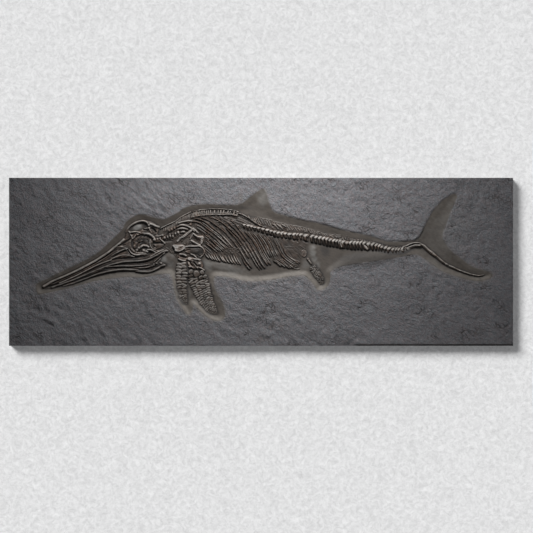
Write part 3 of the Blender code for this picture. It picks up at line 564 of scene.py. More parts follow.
class Look:
    """A material whose nodes are added by short calls."""

    def __init__(self, name):
        self.material = bpy.data.materials.new(name)
        self.material.use_nodes = True
        self.tree = self.material.node_tree
        self.shader = self.tree.nodes["Principled BSDF"]
        self.place = self.tree.nodes.new("ShaderNodeTexCoord").outputs["Object"]

    def put(self, socket, value):
        """Links a socket to another, or sets it."""
        if isinstance(value, bpy.types.NodeSocket):
            self.tree.links.new(value, socket)
        elif isinstance(value, tuple) and len(value) == 3 and socket.type == "RGBA":
            socket.default_value = (*value, 1.0)
        else:
            socket.default_value = value

    def node(self, kind, output, inputs, **settings):
        """Adds a node with its settings and inputs, and gives one of its outputs."""
        made = self.tree.nodes.new("ShaderNode" + kind)
        for name, value in settings.items():
            setattr(made, name, value)
        for name, value in inputs.items():
            self.put(made.inputs[name], value)
        return made.outputs[output]

    def share(self, name):
        """A value that the mesh keeps at each of its vertices."""
        return self.node("Attribute", "Fac", {}, attribute_name=name)

    def scaled(self, factors, turn=0.0):
        """The object's coordinates along and across a direction, each multiplied by its factor."""
        inputs = {"Rotation": (0.0, 0.0, math.radians(turn)), "Scale": [1.0 / factor for factor in factors]}
        return self.node("Mapping", "Vector", {**inputs, "Vector": self.place}, vector_type="TEXTURE")

    def warped(self, vector, scale, amount):
        """The vector, pushed about by noise."""
        push = self.node("TexNoise", "Color", {"Scale": scale, "Detail": 3.0, "Vector": vector})
        inputs = {0: push, 1: (amount, amount, amount), 2: vector}
        return self.node("VectorMath", "Vector", inputs, operation="MULTIPLY_ADD")

    def noise(self, scale, detail=4.0, roughness=0.55, vector=None):
        """Smooth noise from 0 to 1."""
        inputs = {"Scale": scale, "Detail": detail, "Roughness": roughness, "Vector": vector or self.place}
        return self.node("TexNoise", "Fac", inputs)

    def cells(self, scale, vector=None, feature="F1"):
        """The distance to the nearest of many scattered points, or to the edge between two of them."""
        inputs = {"Scale": scale, "Vector": vector or self.place}
        return self.node("TexVoronoi", "Distance", inputs, feature=feature)

    def terraces(self, level, edge):
        """The level as flat steps, with a rise over the last share of each."""
        rise = self.fit(self.math("FRACT", level), 1.0 - edge, 1.0)
        return self.math("ADD", self.math("FLOOR", level), rise)

    def math(self, operation, first, second=0.0):
        """A sum, a product or the like."""
        return self.node("Math", "Value", {0: first, 1: second}, operation=operation)

    def fit(self, value, low, high, first=0.0, last=1.0):
        """The value, moved from one range to another and kept within it."""
        inputs = {"From Min": low, "From Max": high, "To Min": first, "To Max": last, "Value": value}
        return self.node("MapRange", "Result", inputs)

    def mix(self, share, first, second, blend="MIX"):
        """The first colour with a share of the second."""
        inputs = {"Factor": share, "A": first, "B": second}
        return self.node("Mix", "Result", inputs, data_type="RGBA", blend_type=blend)

    def ramp(self, value, stops):
        """Colours at the given values."""
        made = self.tree.nodes.new("ShaderNodeValToRGB")
        while len(made.color_ramp.elements) < len(stops):
            made.color_ramp.elements.new(0.5)
        for element, (position, colour) in zip(made.color_ramp.elements, stops):
            element.position = position
            element.color = (*colour, 1.0)
        self.put(made.inputs["Fac"], value)
        return made.outputs["Color"]

    def bump(self, height, distance, strength=1.0, normal=None):
        """Fine relief, over the relief of another normal where one is given."""
        inputs = {"Distance": distance, "Strength": strength, "Height": height}
        if normal is not None:
            inputs["Normal"] = normal
        return self.node("Bump", "Normal", inputs)

    def finish(self, colour, roughness, normal=None):
        """The material, with these put on its shader."""
        self.put(self.shader.inputs["Base Color"], colour)
        self.put(self.shader.inputs["Roughness"], roughness)
        if normal is not None:
            self.put(self.shader.inputs["Normal"], normal)
        return self.material


def bone_look(name, pale, brown):
    """Dark, semi-gloss fossil bone: black in its hollows as painted shade, grey-brown on its crests from wear
    and painted light.
    """
    look = Look(name)
    wear = look.share("wear")
    mottle = look.noise(210.0, 5.0, 0.6)
    broad = look.noise(38.0, 3.0)
    blotch = look.noise(75.0, 4.0, 0.6)
    height = look.math("ADD", wear, look.fit(mottle, 0.3, 0.7, -0.09, 0.09))
    hollow, *wear_and_painted_light_levels = BONE_SHADES
    stops = [hollow] + [(level, tuple(part * pale for part in shade)) for level, shade in wear_and_painted_light_levels]
    colour = look.ramp(height, stops)
    tint = look.mix(look.fit(broad, 0.35, 0.65), *BONE_TINTS)
    share = look.fit(height, 0.70, 0.95, 0.8 * brown, 0.15)
    colour = look.mix(share, colour, tint, "MULTIPLY")
    colour = look.mix(1.0, colour, look.fit(blotch, 0.32, 0.68, 0.62, 1.34), "MULTIPLY")
    colour = look.mix(look.share("fade"), colour, SUNK_BONE)
    fine = look.noise(900.0, 3.0, 0.6)
    pits = look.fit(look.cells(420.0), 0.0, 0.35)
    normal = look.bump(fine, 0.0006, 0.5)
    normal = look.bump(pits, 0.0005, 0.35, normal)
    gloss = look.fit(mottle, 0.3, 0.7, 0.50, 0.64)
    look.shader.inputs["Specular IOR Level"].default_value = 0.38
    return look.finish(colour, gloss, normal)


def rock_look():
    """The slab's face: split shale, and the smooth film of skin in the recess."""
    look = Look("split_shale")
    film, tan, painted_shade_and_smudges, pale = [look.share(name) for name in ("film", "tan", "painted_shade_and_smudges", "pale")]
    lean = look.scaled((1.0, 1.9, 1.0), -46.0)
    bent = look.warped(lean, 45.0, 0.020)
    wide = look.terraces(look.math("MULTIPLY", look.noise(22.0, 6.0, 0.6, bent), 15.0), 0.18)
    small = look.terraces(look.math("MULTIPLY", look.noise(52.0, 4.0, 0.6, lean), 9.0), 0.25)
    cracks = look.fit(look.cells(50.0, bent, "DISTANCE_TO_EDGE"), 0.0, 0.11, 1.0, 0.0)
    cracked = look.math("MULTIPLY", cracks, look.fit(look.noise(22.0, 3.0), 0.55, 0.66))
    flecks = look.noise(210.0, 3.0, 0.7, lean)
    grain = look.noise(520.0, 3.0, 0.6)
    specks = look.math("MULTIPLY", look.fit(look.cells(120.0, bent), 0.05, 0.30, 1.0, 0.0),
                       look.fit(look.noise(28.0, 3.0), 0.50, 0.66))
    clouds = look.noise(9.0, 3.0, 0.5)
    stains = look.noise(16.0, 5.0, 0.7)
    grey = look.mix(look.fit(clouds, 0.35, 0.65), ROCK_DARK, ROCK_LIGHT)
    grey = look.mix(look.fit(flecks, 0.38, 0.66, 0.0, 0.7), grey, FLECK)
    grey = look.mix(look.fit(grain, 0.38, 0.62, 0.45, 0.0), grey, GRAIN)
    grey = look.mix(look.math("MULTIPLY", specks, 0.7), grey, SPECK)
    grey = look.mix(look.fit(stains, 0.60, 0.74, 0.0, 0.5), grey, RUST)
    grey = look.mix(look.math("MULTIPLY", cracked, 0.8), grey, CRACK)
    hue = look.mix(look.fit(look.noise(150.0, 2.0), 0.35, 0.65), *ROCK_HUES)
    grey = look.mix(1.0, grey, hue, "MULTIPLY")
    streaks = look.noise(60.0, 4.0, 0.55, look.scaled((1.0, 5.0, 1.0), -14.0))
    smears = look.noise(95.0, 4.0, 0.65, look.scaled((1.0, 2.2, 1.0), -30.0))
    skin = look.mix(look.fit(streaks, 0.3, 0.7), SKIN_DARK, SKIN_LIGHT)
    skin = look.mix(look.fit(grain, 0.3, 0.75, 0.22, 0.0), skin, SKIN_GRAIN)
    colour = look.mix(film, grey, skin)
    # The tan wall, paler on the lower rim as painted light
    colour = look.mix(tan, colour, TAN_PAINTED_LIT_WALL)
    colour = look.mix(pale, colour, MATRIX)
    # Painted shade round the bones, in the dark smudges and along the slab's lower edge
    colour = look.mix(painted_shade_and_smudges, colour, PAINTED_SHADE_AND_SMUDGES)
    smeared = look.mix(1.0, colour, look.fit(smears, 0.3, 0.7, 0.8, 1.2), "MULTIPLY")
    colour = look.mix(film, colour, smeared)
    bare = look.math("SUBTRACT", 1.0, look.math("MAXIMUM", film, tan))
    normal = look.bump(look.math("MULTIPLY", look.math("SUBTRACT", wide, 7.5), bare), 0.00039, 1.0)
    normal = look.bump(look.math("MULTIPLY", look.math("SUBTRACT", small, 4.5), bare), 0.0005, 1.0, normal)
    normal = look.bump(look.math("MULTIPLY", look.fit(flecks, 0.3, 0.7, -0.5, 0.5), bare), 0.0018, 0.9,
                       normal)
    normal = look.bump(look.math("MULTIPLY", cracked, bare), -0.0014, 0.9, normal)
    normal = look.bump(grain, 0.0003, 0.3, normal)
    gloss = look.fit(grain, 0.3, 0.7, 0.58, 0.78)
    return look.finish(colour, gloss, normal)


def edge_look():
    """The sawn sides, with the shale's fine layers, and the back."""
    look = Look("sawn_shale")
    layers = look.noise(1.0, 5.0, 0.6, look.scaled((6.0, 6.0, 900.0)))
    grain = look.noise(500.0, 4.0, 0.6)
    colour = look.ramp(layers, SAWN_SHADES)
    normal = look.bump(grain, 0.0004, 0.5, look.bump(layers, 0.0008, 0.6))
    return look.finish(colour, look.fit(grain, 0.3, 0.7, 0.65, 0.85), normal)


# The slab

def rock_height(x, y):
    """How far the split face rises and falls: swells, thin ledges with sharp edges, and small pits."""
    u, v = turned(x + 5.0 * noise(x, y, 24.0, 4), y + 5.0 * noise(x, y, 24.0, 5), -42.0)
    swell = 0.7 * noise(x, y, 80.0, 21)
    broad, middle, fine = noise(u / 2.0, v, 15.0, 22), noise(u / 1.6, v, 7.0, 23), noise(u / 1.3, v, 4.5,
                                                                                         28)
    layers = 3.0 * (broad + 0.55 * middle + 0.3 * fine)
    part = layers - np.floor(layers)
    ledges = 0.55 * (np.floor(layers) + ease((part - 0.7) / 0.3))
    chips = 0.28 * noise(u / 2.0, v, 4.6, 25)
    pits = -1.3 * ease((noise(u / 1.7, v, 9.0, 26) - 0.5) / 0.2)
    rough = 0.85 + 0.35 * noise(x, y, 110.0, 27) - 0.3 * ease((x - 150.0) / 300.0)
    return swell + rough * (ledges + chips + pits)


def slab_face():
    """The split face, the recess with its soft wall, and how far inside the recess each vertex is."""
    xs = np.linspace(-HALF_LENGTH, HALF_LENGTH, round(2 * HALF_LENGTH / COLUMN_STEP) + 1)
    low, high = BODY_ROWS
    ys = np.concatenate([np.linspace(-HALF_WIDTH, low, 21)[:-1], np.linspace(low, high, 165)[:-1],
                         np.linspace(high, HALF_WIDTH, 9)])
    x, y = np.meshgrid(xs, ys)
    outline = smooth_path(BODY_OUTLINE, 4.0, closed=True)
    inside = depth_inside(x, y, outline, 40.0)
    middle = np.interp(x, *np.transpose(MIDDLE_LINE))
    gentle = np.maximum(ease((y - middle) / 20.0), ease((x - 420.0) / 40.0))
    gentle = np.maximum(gentle, 3.5 * ease((x - 195.0) / 40.0) * ease((430.0 - x) / 50.0))
    wobble = 1.1 * noise(x, y, 11.0, 31) + 0.6 * noise(x, y, 5.0, 32)
    wall = ease((inside + 4.0 + wobble) / (21.0 + 6.0 * gentle))
    crisp = (0.22 + 0.22 * ease((x - 10.0) / 60.0)) * ease((y - middle) / 20.0)
    wall = (1 - crisp) * wall + crisp * ease((inside + 1.5 + wobble) / 3.5)
    rock = rock_height(x, y)
    near_rim = np.clip(-inside / 14.0, 0.0, 1.0)
    rock = rock * (0.35 + 0.65 * near_rim)
    edge = np.minimum(HALF_LENGTH - np.abs(x), HALF_WIDTH - np.abs(y))
    chipped = 0.9 * ease(1.0 - edge / 3.5) * (0.6 + 0.4 * noise(x, y, 9.0, 33))
    floor = 0.22 * noise(x, y, 34.0, 34) + 0.10 * noise(x, y, 9.0, 35)
    for centre, radii, turn, height in SWELLS:
        floor = floor + height * patch(x, y, centre, radii, turn, 1.5)
    z = (1 - wall) * (FACE + np.clip(rock, -2.6, 1.8) - chipped) + wall * (FLOOR + floor)
    return x, y, z, inside


def painted_shade_of(bones, x, y):
    """A soft painted shade on the face's grid where bones lie, and round them, reaching further below them.
    """
    shade = np.zeros_like(x)
    for solid in bones:
        spots = np.vstack(solid.vertices)
        spots = spots[spots[:, 2] > FLOOR]
        column = np.clip(np.searchsorted(x[0], spots[:, 0]), 0, x.shape[1] - 1)
        row = np.clip(np.searchsorted(y[:, 0], spots[:, 1]), 0, x.shape[0] - 1)
        shade[row, column] = 1.0
    for _ in range(3):
        shade = (2 * shade + np.roll(shade, -1, 0) + np.roll(shade, 1, 1) + np.roll(shade, -1, 1)) / 5.0
    return shade


def face_shares(bones, x, y, inside):
    """How much film, tan wall with painted light, painted shade and pale matrix each point of the face shows.
    """
    # The wall's band: tan colour, with painted light mostly on the lower rim, which faces the lamp
    lit_wall = np.exp(-((inside - 6.0) / 8.5) ** 2)
    belly = np.clip((20.0 - y) / 30.0, 0.0, 1.0) * np.interp(x, *np.transpose(RIM_STRENGTH))
    # Painted shade where the bones lie, and below and beside them, inside the recess
    painted_shade_and_smudges = 0.9 * ease(painted_shade_of(bones, x, y) * 1.35) * (inside > 3.0)
    # The dark smudges join the painted shade
    for centre, radii, turn, amount in SMUDGES:
        painted_shade_and_smudges = np.maximum(painted_shade_and_smudges, amount * patch(x, y, centre, radii, turn, 1.3))
    # A painted shadow: a thin dark line along the slab's lower edge, toward its right end
    painted_edge_shadow = (y < -221.0) * ease((x - 240.0) / 20.0)
    ragged = 0.22 * noise(x, y, 14.0, 36) + 0.2 * noise(x, y, 6.5, 37)
    pale = np.zeros_like(x)
    for centre, radii, turn, amount in PALE_SPOTS:
        pale = np.maximum(pale, amount * patch(x, y, centre, radii, turn, 1.2, ragged))
    return {"film": ease((inside + 1.0) / 4.0), "tan": 0.75 * lit_wall * (0.10 + 0.90 * belly),
            "painted_shade_and_smudges": np.maximum(painted_shade_and_smudges, painted_edge_shadow), "pale": pale}


def slab(bones):
    """The whole slab: its face, its sawn sides and its back."""
    x, y, z, inside = slab_face()
    rows, columns = x.shape
    body = Solid()
    body.add(np.column_stack([x.ravel(), y.ravel(), z.ravel()]), grid_faces(rows, columns),
             np.zeros(x.size))
    border = np.concatenate([np.arange(columns), np.arange(2, rows + 1) * columns - 1,
                             (rows - 1) * columns + np.arange(columns - 1)[::-1],
                             np.arange(1, rows - 1)[::-1] * columns])
    top = body.vertices[0][border]
    sides = np.vstack([top * (1.0, 1.0, 1.0 - level / (SIDE_LEVELS - 1)) for level in range(SIDE_LEVELS)])
    body.add(sides, tube_faces(SIDE_LEVELS, len(border))[:, ::-1], np.zeros(len(sides)))
    corners = [(-HALF_LENGTH, -HALF_WIDTH, 0), (HALF_LENGTH, -HALF_WIDTH, 0),
               (HALF_LENGTH, HALF_WIDTH, 0), (-HALF_LENGTH, HALF_WIDTH, 0)]
    body.add(corners, [[3, 2, 1, 0]], np.zeros(4))
    elsewhere = np.zeros(body.count - x.size)
    shares = {name: np.concatenate([values.ravel(), elsewhere])
              for name, values in face_shares(bones, x, y, inside).items()}
    made = body.piece("shale_slab", rock_look(), **shares)
    made.data.materials.append(edge_look())
    slots = np.zeros(len(made.data.polygons), int)
    slots[(rows - 1) * (columns - 1):] = 1
    made.data.polygons.foreach_set("material_index", slots)
    return made


# The bones

def bone(solid, line, half, height, seed, points=11, ends=2.5, rough=0.12, sunk=0.0):
    """A bone along a line, with its half widths and heights given at even shares of the length.

    sunk gives, in the same way, how far the bone's colour fades into the film.
    """
    path = smooth_path(line, BONE_STEP)
    shares = np.linspace(0.0, 1.0, len(path))
    run = np.arange(len(path)) * BONE_STEP
    wide = spread(half, shares) * (1 + 0.10 * wavering(run, 9.0, seed, seed + 1))
    tall = spread(height, shares) * (1 + 0.10 * wavering(run, 12.0, seed, seed + 2))
    end = tapered(run, ends)
    swept(solid, path, wide * end, tall * end, round_section, points, seed=seed, rough=rough,
          fade=spread(sunk, shares))


def rib(solid, line, others, height, seed):
    """A rib with a groove along it, as wide as the other ribs leave room for."""
    path = smooth_path(line, RIB_STEP)
    shares = np.linspace(0.0, 1.0, len(path))
    run = np.arange(len(path)) * RIB_STEP
    half = np.clip(0.5 * room_beside(path, others) - 1.4, 1.7, 2.3)
    for _ in range(6):
        half[1:-1] = (half[:-2] + half[1:-1] + half[2:]) / 3
    half = half * spread((0.75, 1.0, 1.0, 1.0, 1.1, 1.2, 0.85), shares)
    tall = height * spread((0.75, 0.95, 0.95, 0.95, 1.0, 1.05, 0.85), shares)
    tall = tall * (1 + 0.10 * wavering(run, 26.0, seed, seed + 2))
    for spot in np.random.default_rng(seed).uniform(0.08, 0.95, max(1, round(run[-1] / 45))):
        tall = tall * (1 - 0.3 * np.exp(-((shares * run[-1] - spot * run[-1]) / 1.2) ** 2))
    fade = tapered(run, 4.0)
    end = ease(1.0 - (run[-1] - run) / 16.0)
    tone = 0.77 + 0.30 * ease((shares - 0.45) / 0.4)
    swept(solid, path, half * fade, tall * fade * (1 - 0.3 * end), grooved_section, 17, seed=seed,
          rough=0.05, fade=0.2 * end, tone=tone[:, None])


def thin_ribs(solid):
    """A thin broken rib midway between each two ribs, where they leave room for it."""
    lines = [smooth_path(line, 2.0) for line in RIBS]
    for number, pair in enumerate(zip(lines[:-1], lines[1:])):
        shares = np.linspace(0.0, 1.0, 40)
        first, second = [line[(shares * (len(line) - 1)).astype(int)] for line in pair]
        if np.linalg.norm(first - second, axis=1).max() > 26.0:
            continue
        path = smooth_path((first + second)[::4] / 2, RIB_STEP)
        run = np.arange(len(path)) * RIB_STEP
        broken = ease((wavering(run, 22.0, number, 240) + 0.75) / 0.3)
        tall = 4.6 * ease((room_beside(path, lines) - 2.2) / 1.6) * broken
        swept(solid, path, np.full(len(path), 1.35), np.maximum(tall, 0.05), round_section, 7,
              seed=240 + number, rough=0.15, tone=(0.9 + 0.2 * np.linspace(0, 1, len(path)))[:, None])


def vertebrae(solid, line, half_widths, pitch, height, seed, crest=0.3, gap=2.5, slit=1.5, cut=1.0,
              bent=1.0):
    """A run of vertebrae: pale strokes above the crest, thin dark bars with deep gaps below it.

    Each one is bent like an arrowhead that points to the skull. gap and slit are the widths of the gaps
    below and above the crest, and cut is their depth. Above the crest the colour is made paler as painted
    light, and below it darker as painted shade.
    """
    points = 19
    path = smooth_path(line, VERTEBRA_STEP)
    shares = np.linspace(0.0, 1.0, len(path))
    scatter = np.random.default_rng(seed)
    run = np.arange(len(path)) * VERTEBRA_STEP / pitch
    run = run + 0.28 * wavering(run, 1.7, 0, seed)
    apart = (0.5 - np.abs(run - np.floor(run) - 0.5)) * pitch
    one = scatter.uniform(-1.0, 1.0, int(run.max()) + 3)[np.floor(run).astype(int) + 1]
    two = scatter.uniform(-1.0, 1.0, int(run.max()) + 3)[np.floor(run).astype(int) + 1]
    deep, shallow = np.exp(-(apart / gap) ** 2), np.exp(-(apart / (slit * (1 + 0.4 * two))) ** 2)
    half = spread(half_widths, shares) * (1 + 0.07 * one)
    tall = height * (0.86 + 0.14 * one)
    t = across_shares(points)
    crest = spread(crest, shares)[:, None]
    low = ease((crest + 0.1 + 0.12 * two[:, None] - t) / 0.3)
    ripple = 0.12 * noise(run[:, None] * 3.1 + 2.0 * t, t * 4.0 + 0 * run[:, None], 1.0, seed + 9)
    worked = 1.0 + ripple - cut * (deep[:, None] * low + 0.66 * shallow[:, None] * (1 - low))

    def ridge_section(t):
        above = np.clip((t - crest) / (1 - crest), 0.0, 1.0)
        below = np.clip((crest - t) / (1 + crest), 0.0, 1.0)
        return (1 - above ** 1.6) ** 0.8 * (1 - 0.28 * below ** 0.9) * (1 - below ** 7) ** 0.8

    # Painted light above the crest, toward the lamp, and painted shade below it
    tone = (0.62 + 0.78 * ease((t - crest + 0.35) / 0.45)) * (1 + 0.26 * two[:, None])
    bend = bent * (0.62 * np.maximum(t - crest, 0.0) + 0.34 * np.maximum(crest - t, 0.0))
    swept(solid, path, half, tall, ridge_section, points, bend, seed, 0.14, worked, tone=tone)


def bars(solid, feet, tops, pitch, half, height, seed, lean=0.0):
    """Upright spines: a bar for each pitch from one line to another."""
    low, high = smooth_path(feet, 1.0), smooth_path(tops, 1.0)
    count = round(len(low) / pitch)
    scatter = np.random.default_rng(seed)
    for number in range(count):
        share = np.clip((number + 0.5 + scatter.uniform(-0.2, 0.2)) / count, 0, 1)
        start = at(low, share)
        end = at(high, np.clip(share + lean / len(high), 0, 1))
        end = start + (end - start) * scatter.uniform(0.85, 1.05)
        middle = (start + end) / 2 + scatter.uniform(-0.6, 0.6, 2)
        wide = half * scatter.uniform(0.7, 1.15) * np.array([0.9, 0.8, 1.0, 0.9])
        tall = height * scatter.uniform(0.7, 1.1) * np.array([0.8, 1.0, 1.0, 0.6])
        bone(solid, [start, middle, end], wide, tall, seed * 50 + number, points=7, ends=1.5)


def pad(solid, centre, ahead, half, height, seed, fade=0.0, domed=0.0, lean=0.32):
    """A small bone with a rounded, uneven outline, either flat and tilted down to its front or domed."""
    scatter = np.random.default_rng(seed)
    turns = np.linspace(0.0, 2 * math.pi, 14, endpoint=False)
    out = np.array([0.0, 0.4, 0.7, 0.88, 1.0, 1.06])[:, None]
    rises = (1 - domed) * np.array([0.86, 0.9, 0.95, 0.92, 0.70, -0.3])
    rises += domed * np.array([1.0, 0.97, 0.84, 0.6, 0.26, -0.3])
    c, s = np.cos(turns), np.sin(turns)
    rounded = (np.abs(c) ** 2.4 + np.abs(s) ** 2.4) ** (-1 / 2.4)
    uneven = 1 + 0.08 * np.cos(2 * turns + scatter.uniform(0, 6))
    uneven = uneven + 0.07 * np.cos(3 * turns + scatter.uniform(0, 6))
    side = np.array([-ahead[1], ahead[0]])
    u = rounded * uneven * c * out * half[0]
    v = rounded * uneven * s * out * half[1]
    x = centre[0] + ahead[0] * u + side[0] * v
    y = centre[1] + ahead[1] * u + side[1] * v
    tilt = scatter.uniform(-0.08, 0.08, 2) - (lean * (1 - domed), 0.0)
    z = FLOOR + height * (rises[:, None] + tilt[0] * c * out + tilt[1] * s * out)
    z[-1] = SUNK
    # Paler on its raised middle, and toward its back end, which on the flippers faces the lamp, as painted
    # light
    wear = np.clip(rises, 0, 1)[:, None] * scatter.uniform(0.62, 1.0) * (1 - lean * c * out)
    solid.add(np.stack([x, y, z], axis=2).reshape(-1, 3), tube_faces(*x.shape), np.clip(wear, 0, 1).ravel(),
              fade)


def flipper(solid, front_edge, back_edge, columns, rows, height, shorten, seed, whole=0.6, loose=0.6):
    """Rows of finger bones between two edges.

    Past the whole share of its length they sink into the film. loose is how far they have slipped, in
    millimetres.
    """
    scatter = np.random.default_rng(seed)
    lengths = np.linspace(1.0, shorten, rows)
    shares = np.concatenate([[0.0], np.cumsum(lengths)]) / lengths.sum()
    front, back = smooth_path(front_edge, 0.5), smooth_path(back_edge, 0.5)

    def spot(share, across):
        share = np.clip(share, 0, 1)
        start, end = at(front, share), at(back, share)
        return start + (end - start) * across, np.linalg.norm(end - start) / columns

    for column in range(columns):
        slip = scatter.uniform(-0.5, 0.5) / rows
        for row in range(rows):
            across = (column + 0.5 + scatter.uniform(-0.08, 0.08)) / columns
            low, wide = spot(shares[row] + slip, across)
            high, narrow = spot(shares[row + 1] + slip, across)
            ahead = high - low
            length = np.linalg.norm(ahead)
            if length < 1.5:
                continue
            turn = scatter.normal(0.0, 0.25 * loose)
            ahead = np.array([ahead[0] - turn * ahead[1], ahead[1] + turn * ahead[0]])
            half = np.array([length * 0.57, 0.5 * (wide + narrow) * 0.62]) * scatter.uniform(0.88, 1.06, 2)
            middle = (low + high) / 2 + scatter.uniform(-loose, loose, 2)
            sunk = ease((row / rows - whole) / (1.05 - whole))
            tall = height * (1.0 - 0.75 * sunk) * scatter.uniform(0.7, 1.1)
            pad(solid, middle, ahead / np.linalg.norm(ahead), half, tall, seed * 997 + row * 31 + column,
                fade=0.85 * sunk, domed=0.3, lean=0.6)


def carved(box, grain, step, seed, plates=(), ridges=(), cuts=(), domes=(), wear_and_painted_light_levels=()):
    """Bones worked as heights: flat plates first, then ridges and swellings, then grain, then cracks.

    box is west, south, east, north. A plate is (outline, height, slope, holes), a ridge (half width, height,
    line), a cut (half width, depth, line), a dome (centre, radii, height, turn), a painted patch (centre,
    radii, turn, amount), mostly a painted highlight on a lump where the amount is above 0 and painted shade
    in a cut where it is below, and grain (direction, size, depth).
    """
    field = Field(*box, step)
    for outline, height, slope, holes in plates:
        field.plateau(outline, height, slope, holes)
    for half, height, line in ridges:
        field.ridge(line, half, height, 0.85, steep=0.35)
    for centre, radii, height, turn in domes:
        field.dome(centre, radii, height, turn)
    direction, size, depth = grain
    field.roughen(size, 0.7 * depth, direction, 5.0, seed)
    for half, depth, line in cuts:
        field.groove(line, half, depth)
    for place in wear_and_painted_light_levels:
        field.wear_at(*place)
    solid = Solid()
    field.into(solid)
    return solid


def oval(centre, radii):
    """The outline of an oval."""
    turns = np.linspace(0.0, 2 * math.pi, 28, endpoint=False)
    return [(centre[0] + radii[0] * math.cos(t), centre[1] + radii[1] * math.sin(t)) for t in turns]


